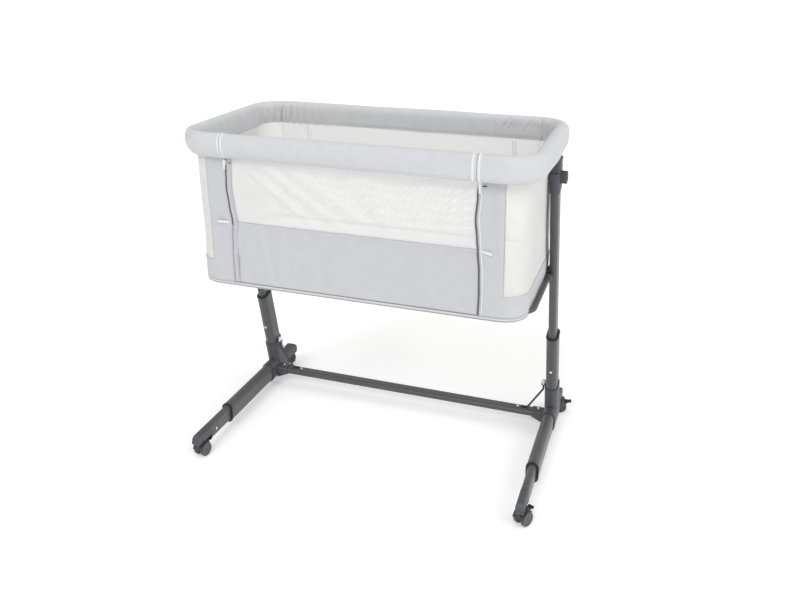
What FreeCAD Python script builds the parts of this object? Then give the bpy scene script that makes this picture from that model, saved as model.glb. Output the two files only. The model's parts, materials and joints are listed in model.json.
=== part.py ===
import FreeCAD, Part
import math
import os

# Bedside sleeper crib, in millimetres. +Z is up, X runs along the crib and -Y faces the
# parents' bed. The origin is on the floor, at the middle of the crib's length and depth.

V = FreeCAD.Vector
O = V(0, 0, 0)
X, Y, Z = V(1, 0, 0), V(0, 1, 0), V(0, 0, 1)

# ---------------------------------------------------------------- driving dimensions
fit = 0.2                 # clearance of pieces that are fixed to each other
run = 0.3                 # clearance of pieces that slide past each other
shaft_fit = 0.05          # radial clearance of pins and axles
basket_y = -69.0          # the basket's mid-depth, in front of the origin

# Padded rim and the top rail inside it
rim_length = 950.0
rim_width = 520.0
rim_top = 955.0
pad_height = 66.0
pad_thick = 36.0
pad_corner = 95.0         # outer corner radius in plan
pad_crown = 15.0          # height of the rounded top
pad_edge = 5.0            # rounding of the inner lower edge
pad_tuck = 22.0           # the outer face tucks in under itself towards the wall
rail_diameter = 22.0
rail_wall = 1.5

# Fabric walls
wall_inset_end = 28.0     # the end walls hang this far inside the rim's outer face
wall_inset_side = 32.0
end_taper = 4.0           # how much further in the ends stand at the foot
side_taper = 18.0
wall_corner_top = 78.0
wall_corner_bottom = 66.0
wall_thick = 3.0
band_height = 57.0        # grey band round the foot of the walls
mesh_wrap = 53.0          # the end meshes run this far round on the long sides
strip_width = 61.5        # grey strip between an end mesh and the zip
zip_width = 3.0
zip_thick = 3.4
panel_height = 172.5      # grey panel under the front window
floor_z = 534.0           # underside of the basket
cover_thick = 2.5
piping_radius = 3.8
loop_long, loop_wide = 22.0, 8.0
loop_strap = 1.2
loop_stand = 5.2          # how far a webbing loop stands off the wall
loop_height = 160.5       # above the walls' foot

# Drop side
hinge_lift = 2.0          # the panel's foot above the piping
socket_length = 30.0      # rail sockets on the fixed rail's ends
socket_wall = 2.0
tongue_length = 12.0      # tongues on the drop side's rail
tongue_height = 12.0
tongue_depth = 9.0
tongue_room = 3.0         # room that a tongue needs as it swings out
plug_length = 20.0        # plug of a tongue inside the rail
slider_width, slider_height, slider_thick = 8.0, 13.0, 3.0
tab_length, tab_width, tab_thick = 22.0, 5.0, 1.4
zip_ends = 3.0            # the teeth stop short of the wall's foot and top

# Base of the basket
frame_tube = 14.0
frame_lift = 2.0          # the lower frame above the cover
frame_out = 9.0           # centres of the end members, outside the walls
frame_front_in = 60.0     # centres of the front and back members, inside the walls' foot
frame_back_in = 112.0
frame_corner = 32.0
board_thick = 6.0
board_gap = 3.0           # round the board, inside the walls
mattress_gap = 6.5        # round the mattress, inside the walls
mattress_thick = 50.0
mattress_crown = 7.0
mattress_corner = 55.0

# Stand: oval tubes, width by height of the section
stand_inset = 13.0        # middle of the stand's tubes, inside the rim's outer face
outer_w, outer_h = 33.0, 60.0
inner_w, inner_h = 22.0, 50.0
tube_wall = 2.0
foot_z = 51.0             # centre of the foot tubes
hub_back = 264.0          # foot of the upright, behind the basket's mid-depth
knob_back = 57.0          # top of the upright, behind the basket's mid-depth
knob_drop = 117.0         # knob's centre below the rim's top
collar_s = 293.0          # mouth of the lower upright tube, along the upright
height_travel = 150.0
height_spare = 9.0        # left under the upper tube when it is all the way down
collar_flange = 4.0
collar_lip = 1.2
collar_insert = 28.0

# Foot
foot_mouth_front = 72.0   # mouth of the foot tube, ahead of mid-depth
front_swivel = 235.0      # caster axis, ahead of mid-depth
swivel_behind = 94.0      # rear caster axis, behind the upright's foot
cap_reach = 54.0          # from the caster axis to the tube's end
cap_plate = 3.0
cap_plug = 14.0
cap_nose = 21.0           # the cap's nose beyond the caster axis
cap_lip = 8.0             # height of the nose's lower rounding
foot_overlap = 132.0      # how far the extension reaches into the foot tube
foot_travel = 75.0
foot_spare = 15.0         # from the foot button to the tube's mouth, all the way in

# Hub and crossbar
hub_wall = 3.0
hub_ahead, hub_behind = 74.0, 36.0   # the foot clamp, about the upright's foot
hub_top_s = 107.0
foot_gap = 1.0            # between the foot tube and the upright's lower end
bar_w, bar_h = 20.0, 36.0
bar_ahead = 26.0          # crossbar, ahead of the upright's foot
bar_below = 1.0           # crossbar, below the foot tubes' centre
bar_socket = 38.0         # length of the crossbar socket, inward of the hub
bar_engaged = 34.0
web_thick = 24.0          # web under the crossbar socket
web_toe = 3.0
rib_thick, rib_rise, rib_run = 10.0, 76.0, 72.0   # rib behind the upright
rod_diameter = 6.0        # wire brace
rod_bend = 9.0
rod_gap = 9.0             # the brace's upright leg, inward of the lower tube
rod_foot, rod_reach = 64.5, 20.0    # its foot's length and flat part on the crossbar
rod_rise = 107.0          # its top above the foot tubes' centre
rod_leg = 26.0            # straight part in the eye
eye_height, eye_depth = 9.0, 12.0
eye_drop = 12.0           # the eye below the brace's top

# Top bracket, knob and lower clip
bracket_wall = 2.5
bracket_skirt = 38.0      # the sleeve's lower end, below the knob
bracket_half = 24.0       # half depth of the head
bracket_neck = 6.0        # the head starts this far below the knob
bracket_round = 8.0
bracket_boss = 1.5        # boss round the knob, wider and prouder than the sleeve
bracket_tongue_w, bracket_tongue_d = 8.0, 20.0    # half sizes of the tongue in the rim
knob_diameter = 34.0
knob_thick = 14.0
knob_stem = 8.0
knob_grips = 10
grip_radius, grip_out = 5.0, 3.2
clip_below, clip_above = 45.5, 10.5  # the clip's sleeve, about the lower frame
clip_wall = 3.0
lug_wall = 6.0
lug_ahead, lug_behind = 34.0, 8.0    # the clip's lug, about the upright's front

# Caster
wheel_radius = 20.0
wheel_width = 11.0
wheel_gap = 12.6          # between the two wheels
trail = 12.0
axle_radius = 2.0
stem_radius = 4.0
stem_length = 19.0
hood_gap = 0.8
hood_thick = 1.8
hood_room = 1.4           # between the hood and the cap
web_gap = 0.8             # between the caster's web and its wheels
web_ahead, web_foot = 9.0, 6.0       # the web ahead of the swivel and above the axle
plate_radius, plate_thick = 12.5, 2.2
lever_y, lever_z = 33.0, 33.5
lever_pin = 1.5
lever_hub = 4.2
lever_cheek = 2.5
lever_web = 2.5           # half thickness of the caster's web between the cheeks
lever_end = 47.0
lever_width = 17.0
lever_thick = 3.0
caster_turn = {"front_left": -8.0, "front_right": -27.0, "rear_left": 55.0, "rear_right": -80.0}

# Push buttons
button_radius = 4.0
button_proud = 4.5
button_dome = 2.0
button_z = 224.0

# Screws: radius and head radius
screw_r, screw_head = 2.5, 4.5
small_r, small_head = 2.0, 3.6
head_height = 2.2
socket_screw_x = 37.0     # screws over the crossbar, inward of the stand's middle
brace_screw_x = 100.0
side_screw_rise = 57.0    # screw in the hub's side, above the foot tubes' centre
side_screw_back = 22.0
bracket_screw_drop = 14.0

# ---------------------------------------------------------------- derived places
rim_inset = pad_thick / 2
pad_low = rim_top - pad_height
rail_z = rim_top - rim_inset
front_rail_y = basket_y - rim_width / 2 + rim_inset
socket_radius = rail_diameter / 2 + socket_wall
piping_z = floor_z + cover_thick + fit + piping_radius
wall_low = piping_z + piping_radius + fit
wall_high = pad_low - run
wall_length_top = rim_length - 2 * wall_inset_end
wall_width_top = rim_width - 2 * wall_inset_side
wall_length_bottom = wall_length_top - 2 * end_taper
wall_width_bottom = wall_width_top - 2 * side_taper
band_top = wall_low + band_height
hinge_z = wall_low + hinge_lift
window_sill = wall_low + panel_height
mesh_start_x = wall_length_bottom / 2 - mesh_wrap
zip_x = mesh_start_x - strip_width
front_edge = zip_x + zip_width / 2
slider_x = zip_x - zip_width / 2 + run + slider_width / 2    # clear of the drop side
tongue_start = front_edge + fit
tongue_end = tongue_start + tongue_length
frame_length = wall_length_bottom + 2 * frame_out
frame_front = wall_width_bottom / 2 - frame_front_in
frame_back = wall_width_bottom / 2 - frame_back_in
frame_z = floor_z + cover_thick + frame_tube / 2 + frame_lift
board_z = frame_z + frame_tube / 2 + run
mattress_z = board_z + board_thick + run
mattress_length = wall_length_bottom - 2 * (wall_thick + mattress_gap)
mattress_width = wall_width_bottom - 2 * (wall_thick + mattress_gap)
stand_x = rim_length / 2 - stand_inset
knob_z = rim_top - knob_drop
lean = math.degrees(math.atan2(hub_back - knob_back, knob_z - foot_z))
upright_foot = V(stand_x, basket_y + hub_back, foot_z)
lean_sin, lean_cos = math.sin(math.radians(lean)), math.cos(math.radians(lean))
upright_start_s = (foot_gap + outer_h / 2 * (1 + lean_sin)) / lean_cos
inner_start_s = upright_start_s + height_travel + height_spare
hub_front, hub_rear = hub_back - hub_ahead, hub_back + hub_behind
hub_side_x = stand_x - outer_w / 2 - fit - hub_wall
bar_y, bar_z = basket_y + hub_back - bar_ahead, foot_z - bar_below
bar_top = bar_z + bar_w / 2
bar_socket_x = stand_x - outer_w / 2 - bar_socket
rod_x = stand_x - outer_w / 2 - rod_gap
rod_top_z = foot_z + rod_rise
rear_swivel = hub_back + swivel_behind
cap_base = 2 * wheel_radius + hood_gap + hood_thick + hood_room
foot_button_front = foot_mouth_front + foot_travel + foot_spare
bracket_y = basket_y + knob_back
deep, long = rim_width, rim_length   # more than the walls' reach, for cutting blocks


def s_of(z):
    """Distance along the leaning upright at which its centre line has height z."""
    return (z - foot_z) / lean_cos


# ---------------------------------------------------------------- helpers
def moved(shape, vector):
    copy = shape.copy()
    copy.translate(vector)
    return copy


def turned(shape, centre, axis, angle):
    copy = shape.copy()
    copy.rotate(centre, axis, angle)
    return copy


def mirrored(shape):
    return shape.mirror(O, X)


def both_sides(shape):
    return [shape, mirrored(shape)]


def box(x0, x1, y0, y1, z0, z1):
    return Part.makeBox(x1 - x0, y1 - y0, z1 - z0, V(x0, y0, z0))


def rounded_along(shape, axis, radius):
    """Rounds a block's edges that run along an axis."""
    edges = [e for e in shape.Edges if abs(e.tangentAt(e.FirstParameter).dot(axis)) > 0.9]
    return shape.makeFillet(radius, edges)


def rod(radius, start, end):
    return Part.makeCylinder(radius, (end - start).Length, start, end - start)


def fused(first, *rest):
    return first.fuse(list(rest)).removeSplitter() if rest else first


def oval_bar(width, height, z0, z1):
    """Flat-oval bar along Z, width along X and height along Y."""
    r, c = width / 2, (height - width) / 2
    edges = [
        Part.makeLine(V(r, -c, z0), V(r, c, z0)),
        Part.Arc(V(r, c, z0), V(0, c + r, z0), V(-r, c, z0)).toShape(),
        Part.makeLine(V(-r, c, z0), V(-r, -c, z0)),
        Part.Arc(V(-r, -c, z0), V(0, -c - r, z0), V(r, -c, z0)).toShape(),
    ]
    return Part.Face(Part.Wire(edges)).extrude(V(0, 0, z1 - z0))


def oval_tube(width, height, wall, z0, z1):
    bore = oval_bar(width - 2 * wall, height - 2 * wall, z0 - 1, z1 + 1)
    return oval_bar(width, height, z0, z1).cut(bore)


def on_upright(shape):
    """Sets a shape modelled along Z on the right-hand leaning upright."""
    return moved(turned(shape, O, X, lean), upright_foot)


def on_foot(shape):
    """Lays a shape modelled along Z along the right-hand foot, its z becoming depth from mid-basket."""
    return moved(turned(shape, O, X, -90), V(stand_x, basket_y, foot_z))


def rounded_outline(half_x, half_y, r, z):
    """Rounded rectangle in plan, centred on the basket."""
    k = r * (1 - math.sqrt(0.5))
    edges = []
    for sx, sy in ((1, 1), (-1, 1), (-1, -1), (1, -1)):
        on_x = V(sx * half_x, sy * (half_y - r), z)
        on_y = V(sx * (half_x - r), sy * half_y, z)
        mid = V(sx * (half_x - k), sy * (half_y - k), z)
        ends = (on_x, on_y) if sx * sy > 0 else (on_y, on_x)
        edges.append(Part.Arc(ends[0], mid, ends[1]).toShape())
        if sy > 0 and sx > 0:
            edges.append(Part.makeLine(on_y, V(-on_y.x, on_y.y, z)))
        elif sy > 0:
            edges.append(Part.makeLine(on_x, V(on_x.x, -on_x.y, z)))
        elif sx < 0:
            edges.append(Part.makeLine(on_y, V(-on_y.x, on_y.y, z)))
        else:
            edges.append(Part.makeLine(on_x, V(on_x.x, -on_x.y, z)))
    wire = Part.Wire(Part.__sortEdges__(edges))
    return moved(wire, V(0, basket_y, 0))


def plan_loft(*outlines):
    return Part.makeLoft(list(outlines), True, True)


def ring(face, half_x, half_y, r):
    """Carries a section, drawn in XZ with x = 0 on the outline, round a rounded rectangle."""
    runs = []
    for k in range(4):
        across, along = (half_x, half_y) if k % 2 == 0 else (half_y, half_x)
        side = moved(face, V(across, r - along, 0)).extrude(V(0, 2 * (along - r), 0))
        corner = moved(face, V(across, along - r, 0)).revolve(V(across - r, along - r, 0), Z, 90)
        runs += [turned(side, O, Z, 90 * k), turned(corner, O, Z, 90 * k)]
    return moved(runs[0].fuse(runs[1:]), V(0, basket_y, 0))


def circle_wire(radius, x, z):
    return Part.Wire(Part.makeCircle(radius, V(x, 0, z), Y))


def disc_face(radius, x, z):
    return Part.Face(circle_wire(radius, x, z))


def holed_face(outer, hole):
    """Face with a hole, both given as wires in the XZ plane."""
    return Part.Face(outer).cut(Part.Face(hole)).Faces[0]


# ---------------------------------------------------------------- rim
def pad_section():
    """Bumper section round its rail: round crown, upright sides and an outer face that tucks in to the wall."""
    near = 1 - math.sqrt(0.5)
    inner, shoulder = -pad_thick, rim_top - pad_crown
    tuck_foot, tuck_end = V(-pad_tuck, 0, pad_low), V(0, 0, pad_low + pad_tuck)
    tuck_mid = V(-pad_tuck * near, 0, pad_low + pad_tuck * near)
    edge_foot, edge_end = V(inner + pad_edge, 0, pad_low), V(inner, 0, pad_low + pad_edge)
    edge_mid = V(inner + pad_edge * near, 0, pad_low + pad_edge * near)
    outer_top, inner_top = V(0, 0, shoulder), V(inner, 0, shoulder)
    edges = [
        Part.makeLine(edge_foot, tuck_foot),
        Part.Arc(tuck_foot, tuck_mid, tuck_end).toShape(),
        Part.makeLine(tuck_end, outer_top),
        Part.Arc(outer_top, V(inner / 2, 0, rim_top), inner_top).toShape(),
        Part.makeLine(inner_top, edge_end),
        Part.Arc(edge_end, edge_mid, edge_foot).toShape(),
    ]
    return holed_face(Part.Wire(edges), circle_wire(rail_diameter / 2 + fit, -rim_inset, rail_z))


def front_slice(half, low, high, gap=0.0):
    """Block that takes in the front side between the zips."""
    reach = half - gap
    return box(-reach, reach, basket_y - deep, basket_y, low, high)


def front_rod(radius, start, end):
    """Round bar on the front rail's centre line."""
    return rod(radius, V(start, front_rail_y, rail_z), V(end, front_rail_y, rail_z))


def tongue_sweep(start, end, back):
    """Space in which a tongue swings out to the front."""
    half = tongue_height / 2 + tongue_room
    return box(start, end, basket_y - rim_width / 2 - 1, front_rail_y + back, rail_z - half, rail_z + half)


def rail_sockets():
    """Channels on the fixed rail's front ends, open to the front, that take the drop side's tongues."""
    body = front_rod(socket_radius, tongue_start, tongue_start + socket_length)
    seat = front_rod(rail_diameter / 2 + fit, tongue_end + 2 * tongue_room, tongue_start + socket_length + 1)
    channel = tongue_sweep(tongue_start - 1, tongue_end + tongue_room, tongue_depth / 2 + tongue_room)
    return both_sides(body.cut(seat).cut(channel))


def front_rail():
    """Rail of the drop side, with a tongue at each end."""
    end = zip_x - zip_width / 2 - run
    tube = front_rod(rail_diameter / 2, -end, end)
    tube = tube.cut(front_rod(rail_diameter / 2 - rail_wall, -end - 1, end + 1))
    plug = front_rod(rail_diameter / 2 - rail_wall, end - plug_length, end)
    tongue = box(end - 1, tongue_end, front_rail_y - tongue_depth / 2,
                 front_rail_y + tongue_depth / 2, rail_z - tongue_height / 2, rail_z + tongue_height / 2)
    return [fused(tube, *both_sides(fused(plug, tongue)))]


def top_rail():
    """Steel rail round the back, the ends and the front corners."""
    section = holed_face(circle_wire(rail_diameter / 2, -rim_inset, rail_z),
                         circle_wire(rail_diameter / 2 - rail_wall, -rim_inset, rail_z))
    tube = ring(section, rim_length / 2, rim_width / 2, pad_corner)
    start = tongue_end + 2 * tongue_room + fit
    return [tube.cut(front_slice(start, rail_z - rail_diameter, rail_z + rail_diameter))]


def pad_ring():
    return ring(pad_section(), rim_length / 2, rim_width / 2, pad_corner)


def socket_room():
    """Space round each rail socket."""
    return both_sides(front_rod(socket_radius + run, zip_x, tongue_start + socket_length + run))


def rim_pad():
    """Padded rim round the back, the ends and the front corners."""
    pad = pad_ring().cut(front_slice(front_edge, pad_low - 1, rim_top + 1))
    slots = both_sides(tongue_sweep(zip_x, tongue_end + run, 0))
    return [pad.cut(socket_room() + slots + both_sides(bracket_tongue(run)))]


def front_rim_pad():
    """Padded rim of the drop side."""
    return [pad_ring().common(front_slice(zip_x - zip_width / 2, pad_low - 1, rim_top + 1))]


# ---------------------------------------------------------------- walls
def wall_outline(z, inset, place=None):
    """Outline of the walls as they are at height z, between foot and rim, drawn there or at another height."""
    t = (z - wall_low) / (pad_low - wall_low)
    length = wall_length_bottom + t * (wall_length_top - wall_length_bottom)
    width = wall_width_bottom + t * (wall_width_top - wall_width_bottom)
    corner = wall_corner_bottom + t * (wall_corner_top - wall_corner_bottom)
    return rounded_outline(length / 2 - inset, width / 2 - inset, corner - inset, z if place is None else place)


def wall_shell(z0, z1):
    outer = plan_loft(wall_outline(z0, 0), wall_outline(z1, 0))
    inner = plan_loft(wall_outline(z0 - 1, wall_thick), wall_outline(z1 + 1, wall_thick))
    return outer.cut(inner)


def frame_room():
    return frame_ring(frame_tube / 2 + run)


def skirt():
    """Grey fabric: a band round the foot of the ends and the back, and a strip beside each zip."""
    band = wall_shell(wall_low, band_top).cut(front_slice(front_edge, wall_low - 1, band_top + 1))
    strips = wall_shell(band_top, wall_high)
    strip = box(front_edge, mesh_start_x, basket_y - deep, basket_y, band_top, wall_high)
    pieces = [strips.common(s) for s in both_sides(strip)]
    return [band.fuse(pieces).cut(frame_room())]


def end_mesh():
    """Mesh of one end, wrapping both corners."""
    shell = wall_shell(band_top + run, wall_high)
    return shell.common(box(mesh_start_x + run, long, basket_y - deep, basket_y + deep, 0, rim_top))


def back_mesh():
    shell = wall_shell(band_top + run, wall_high)
    reach = mesh_start_x
    return [shell.common(box(-reach, reach, basket_y, basket_y + deep, 0, rim_top))]


def front_window():
    shell = wall_shell(window_sill + run, wall_high)
    return [shell.common(front_slice(zip_x - zip_width / 2, 0, rim_top, run))]


def front_panel():
    shell = wall_shell(hinge_z, window_sill)
    return [shell.common(front_slice(zip_x - zip_width / 2, 0, rim_top, run))]


def wall_slope():
    """Angle by which the long walls lean outwards."""
    return math.degrees(math.atan2((wall_width_top - wall_width_bottom) / 2, pad_low - wall_low))


def on_front_wall(shape):
    """Sets a shape whose y = 0 is the wall's outer face, with z from the wall's foot, on the front wall."""
    leaned = turned(shape, O, X, wall_slope())
    return moved(leaned, V(0, basket_y - wall_width_bottom / 2, wall_low))


wall_run = (pad_low - wall_low) / math.cos(math.radians(wall_slope()))


def zip_chains():
    """Zip teeth in the slits beside the drop side."""
    half = zip_width / 2 - run
    chain = box(zip_x - half, zip_x + half, run - zip_thick / 2, zip_thick / 2, zip_ends, wall_run - zip_ends)
    return both_sides(on_front_wall(chain))


def zip_slider():
    """Slider in front of the teeth, with its pull tab hanging from a bail."""
    top = wall_run - zip_ends - 1
    out = -zip_thick / 2 - run
    half = slider_width / 2
    body = box(slider_x - half, slider_x + half, out - slider_thick, out, top - slider_height, top)
    body = rounded_along(body, Y, slider_width * 0.15)
    tab_top, face = top - slider_height * 0.35, out - slider_thick
    tab = box(slider_x - tab_width / 2, slider_x + tab_width / 2, face - tab_thick, face,
              tab_top - tab_length, tab_top)
    tab = rounded_along(tab, Y, tab_width * 0.4)
    eye_z = tab_top - tab_length + tab_width * 0.8
    eye = rod(tab_width / 4, V(slider_x, face - 2 * tab_thick, eye_z), V(slider_x, face + tab_thick, eye_z))
    return on_front_wall(body.fuse(tab.cut(eye)))


def webbing_loops():
    """Short webbing loop sewn on each grey strip."""
    x0 = (front_edge + mesh_start_x - loop_long) / 2 - loop_wide
    x1, y0, y1 = x0 + loop_long, -run - loop_stand, -run
    outer = box(x0, x1, y0, y1, loop_height, loop_height + loop_wide)
    outer = rounded_along(outer, Z, 2 * loop_strap)
    bore = box(x0 + loop_strap, x1 - loop_strap, y0 + loop_strap, y1 - loop_strap,
               loop_height - 1, loop_height + loop_wide + 1)
    return both_sides(on_front_wall(outer.cut(bore)))


# ---------------------------------------------------------------- base of the basket
def frame_ring(radius):
    half_y = (frame_front + frame_back) / 2
    raw = ring(disc_face(radius, 0, frame_z), frame_length / 2, half_y, frame_corner)
    return moved(raw, V(0, half_y - frame_front, 0))


def lower_frame():
    """Steel ring under the mattress board; its end members run outside the fabric."""
    return [frame_ring(frame_tube / 2)]


def base_cover():
    """Fabric underside of the basket."""
    return [plan_loft(wall_outline(wall_low, cover_thick, floor_z),
                      wall_outline(wall_low, 0, floor_z + cover_thick))]


def base_piping():
    """Piping between the underside and the foot of the walls."""
    cord = ring(disc_face(piping_radius, -piping_radius, piping_z),
                wall_length_bottom / 2, wall_width_bottom / 2, wall_corner_bottom)
    return [cord.cut(frame_room())]


def base_board():
    inset = wall_thick + board_gap
    half_x, half_y = wall_length_bottom / 2 - inset, wall_width_bottom / 2 - inset
    corner = wall_corner_bottom - inset
    return [plan_loft(rounded_outline(half_x, half_y, corner, board_z),
                      rounded_outline(half_x, half_y, corner, board_z + board_thick))]


def mattress():
    """Foam mattress: flat underneath, drawn-in sides, a piped waist and a crowned top."""
    half_x, half_y, r = mattress_length / 2, mattress_width / 2, mattress_corner
    low, high = mattress_z, mattress_z + mattress_thick
    levels = (
        (low, 6.0),
        (low + 6, 1.0),
        (low + mattress_thick * 0.4, 0.0),
        (high - mattress_crown - 8, 1.0),
        (high - mattress_crown, 6.0),
        (high - mattress_crown * 0.35, 26.0),
        (high, 60.0),
    )
    outlines = [rounded_outline(half_x - d, half_y - d, max(r - d * 0.6, 14), z) for z, d in levels]
    return [Part.makeLoft(outlines, True, True)]


# ---------------------------------------------------------------- stand
def hub():
    """Moulded hub: foot clamp, leaning socket for the upright and a socket for the crossbar."""
    grow = 2 * (hub_wall + fit)
    saddle = on_foot(oval_bar(outer_w + grow, outer_h + grow, hub_front, hub_rear))
    upright = on_upright(oval_bar(outer_w + grow, outer_h + grow, 0, hub_top_s))
    inner_x = stand_x - outer_w / 2
    socket = turned(oval_bar(bar_w + grow, bar_h + grow, 0, bar_socket + hub_wall), O, Y, 90)
    socket = moved(socket, V(bar_socket_x, bar_y, bar_z))
    web_x0, web_x1, web_y = bar_socket_x + web_toe, inner_x, bar_y - web_thick / 2
    web_z = bar_z - bar_w / 4
    web = Part.makePolygon([V(web_x1, web_y, foot_z - outer_h / 2), V(web_x1, web_y, web_z),
                            V(web_x0, web_y, web_z), V(web_x0, web_y, bar_z - bar_w / 2 - hub_wall),
                            V(web_x1, web_y, foot_z - outer_h / 2)])
    web = Part.Face(web).extrude(V(0, web_thick, 0))
    rib_x, rib_y, rib_z = stand_x - rib_thick / 2, basket_y + hub_rear - 2 * hub_wall, foot_z + outer_h / 2
    rib = Part.makePolygon([V(rib_x, rib_y, rib_z), V(rib_x, rib_y - rib_run + rib_thick, foot_z + rib_rise),
                            V(rib_x, rib_y - rib_run, rib_z), V(rib_x, rib_y, rib_z)])
    rib = Part.Face(rib).extrude(V(rib_thick, 0, 0))
    eye_z = rod_top_z - eye_drop
    eye = box(rod_x - eye_depth / 2, inner_x, bar_y - eye_depth / 2, bar_y + eye_depth / 2,
              eye_z, eye_z + eye_height)
    body = saddle.fuse([upright, socket, web, rib, eye])
    foot_bore = on_foot(oval_bar(outer_w + 2 * fit, outer_h + 2 * fit, hub_front - 1, hub_rear + 1))
    tube_bore = on_upright(oval_bar(outer_w + 2 * fit, outer_h + 2 * fit, upright_start_s, hub_top_s + 1))
    bar_bore = turned(oval_bar(bar_w + 2 * fit, bar_h + 2 * fit, -1, bar_engaged + fit), O, Y, 90)
    bar_bore = moved(bar_bore, V(bar_socket_x, bar_y, bar_z))
    eye_bore = rod(rod_diameter / 2 + fit, V(rod_x, bar_y, eye_z - 1), V(rod_x, bar_y, eye_z + eye_height + 1))
    screw_bores = [rod(s_r + fit, a, a + d * s_len) for a, d, s_r, s_len in hub_screw_shanks()]
    return body.cut([foot_bore, tube_bore, bar_bore, eye_bore] + screw_bores)


def crossbar():
    end = bar_socket_x + bar_engaged
    tube = turned(oval_tube(bar_w, bar_h, tube_wall, -end, end), O, Y, 90)
    tube = moved(tube, V(0, bar_y, bar_z))
    bores = [rod(s_r + fit, a, a + d * s_len) for a, d, s_r, s_len in bar_screw_shanks()]
    return [tube.cut(bores + [mirrored(b) for b in bores])]


def bent_rod(points, radius, bend):
    """Round bar along straight runs joined by tangent arcs."""
    edges, last = [], points[0]
    for before, corner, after in zip(points, points[1:], points[2:]):
        u, w = (before - corner).normalize(), (after - corner).normalize()
        half = u.getAngle(w) / 2
        cut = bend / math.tan(half)
        start, end = corner + u * cut, corner + w * cut
        middle = corner + (u + w).normalize() * (bend / math.sin(half) - bend)
        edges += [Part.makeLine(last, start), Part.Arc(start, middle, end).toShape()]
        last = end
    edges.append(Part.makeLine(last, points[-1]))
    path = Part.Wire(edges)
    section = Part.Wire(Part.makeCircle(radius, points[0], points[1] - points[0]))
    return path.makePipeShell([section], True, False)


def brace_rods():
    """Wire brace from the crossbar's top to the eye on each hub."""
    z, start = bar_top + fit + rod_diameter / 2, rod_x - rod_foot
    points = [V(start, bar_y, z), V(start + rod_reach, bar_y, z), V(rod_x, bar_y, rod_top_z - rod_leg),
              V(rod_x, bar_y, rod_top_z)]
    return both_sides(bent_rod(points, rod_diameter / 2, rod_bend))


def foot_tube():
    return on_foot(oval_tube(outer_w, outer_h, tube_wall, -foot_mouth_front, rear_swivel - cap_reach))


def outer_upright():
    """Lower tube of the upright, with the hole of its push button."""
    tube = oval_tube(outer_w, outer_h, tube_wall, upright_start_s + fit, collar_s)
    hole = Part.makeCylinder(button_radius + shaft_fit, outer_h / 2, V(0, 0, s_of(button_z)), -Y)
    start, direction, radius, length = hub_screw_shanks()[1]
    return on_upright(tube.cut(hole)).cut(rod(radius + fit, start, start + direction * length))


def collar(mouth, direction):
    """Plastic bush in a tube's mouth, with a flange over its end."""
    lip_w, lip_h = outer_w + 2 * collar_lip, outer_h + 2 * collar_lip
    in_w, in_h = outer_w - 2 * tube_wall - 2 * fit, outer_h - 2 * tube_wall - 2 * fit
    flange = sorted((mouth, mouth + direction * collar_flange))
    insert = sorted((mouth, mouth - direction * collar_insert))
    body = oval_bar(lip_w, lip_h, *flange).fuse(oval_bar(in_w, in_h, *insert))
    low, high = min(flange + insert) - 1, max(flange + insert) + 1
    return body.cut(oval_bar(inner_w + 2 * run, inner_h + 2 * run, low, high))


def tube_collars():
    """One bush in the mouth of each lower upright and each foot tube."""
    solids = both_sides(on_upright(collar(collar_s, 1)))
    return solids + both_sides(on_foot(collar(-foot_mouth_front, -1)))


def inner_upright():
    """Upper tube of the upright, drilled for the knob's stem."""
    top = s_of(knob_z) + knob_diameter / 2
    tube = on_upright(oval_tube(inner_w, inner_h, tube_wall, inner_start_s, top))
    return tube.cut(rod(knob_stem / 2 + run, knob_centre(0), knob_centre(inner_w)))


def knob_centre(out):
    return V(stand_x + out, bracket_y, knob_z)


def bracket_tongue(grow=0.0):
    """Tongue of the top bracket that reaches up into the padded rim to the rail."""
    half_x, half_y = bracket_tongue_w + grow, bracket_tongue_d + grow
    x = rim_length / 2 - rim_inset
    top = rail_z - rail_diameter / 4 + grow
    return box(x - half_x, x + half_x, bracket_y - half_y, bracket_y + half_y, pad_low - 1, top)


def top_bracket():
    """Moulded bracket: sleeve on the upright, rounded head and tongue under the top rail."""
    grow = 2 * (bracket_wall + fit)
    low, tube_top = s_of(knob_z - bracket_skirt), s_of(knob_z) + knob_diameter / 2
    sleeve = on_upright(oval_bar(inner_w + grow, inner_h + grow, low, tube_top + bracket_wall))
    width = inner_w + grow
    head = box(stand_x - width / 2, stand_x + width / 2, bracket_y - bracket_half, bracket_y + bracket_half,
               knob_z - bracket_neck, wall_high)
    head = rounded_along(head, Z, bracket_round)
    boss = rod(knob_diameter / 2 + bracket_boss, knob_centre(0), knob_centre(width / 2 + bracket_boss))
    body = sleeve.fuse([head, boss, bracket_tongue()])
    bore = on_upright(oval_bar(inner_w + 2 * fit, inner_h + 2 * fit, low - 1, tube_top + fit))
    stem = rod(knob_stem / 2 + shaft_fit, knob_centre(0), knob_centre(width))
    rail_x = rim_length / 2 - rim_inset
    seat = rod(rail_diameter / 2 + fit, V(rail_x, bracket_y - deep / 8, rail_z),
               V(rail_x, bracket_y + deep / 8, rail_z))
    screws = [rod(r + fit, a, a + d * length) for a, d, r, length in bracket_screw_shanks()]
    return body.cut([bore, stem, seat] + screws)


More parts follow.
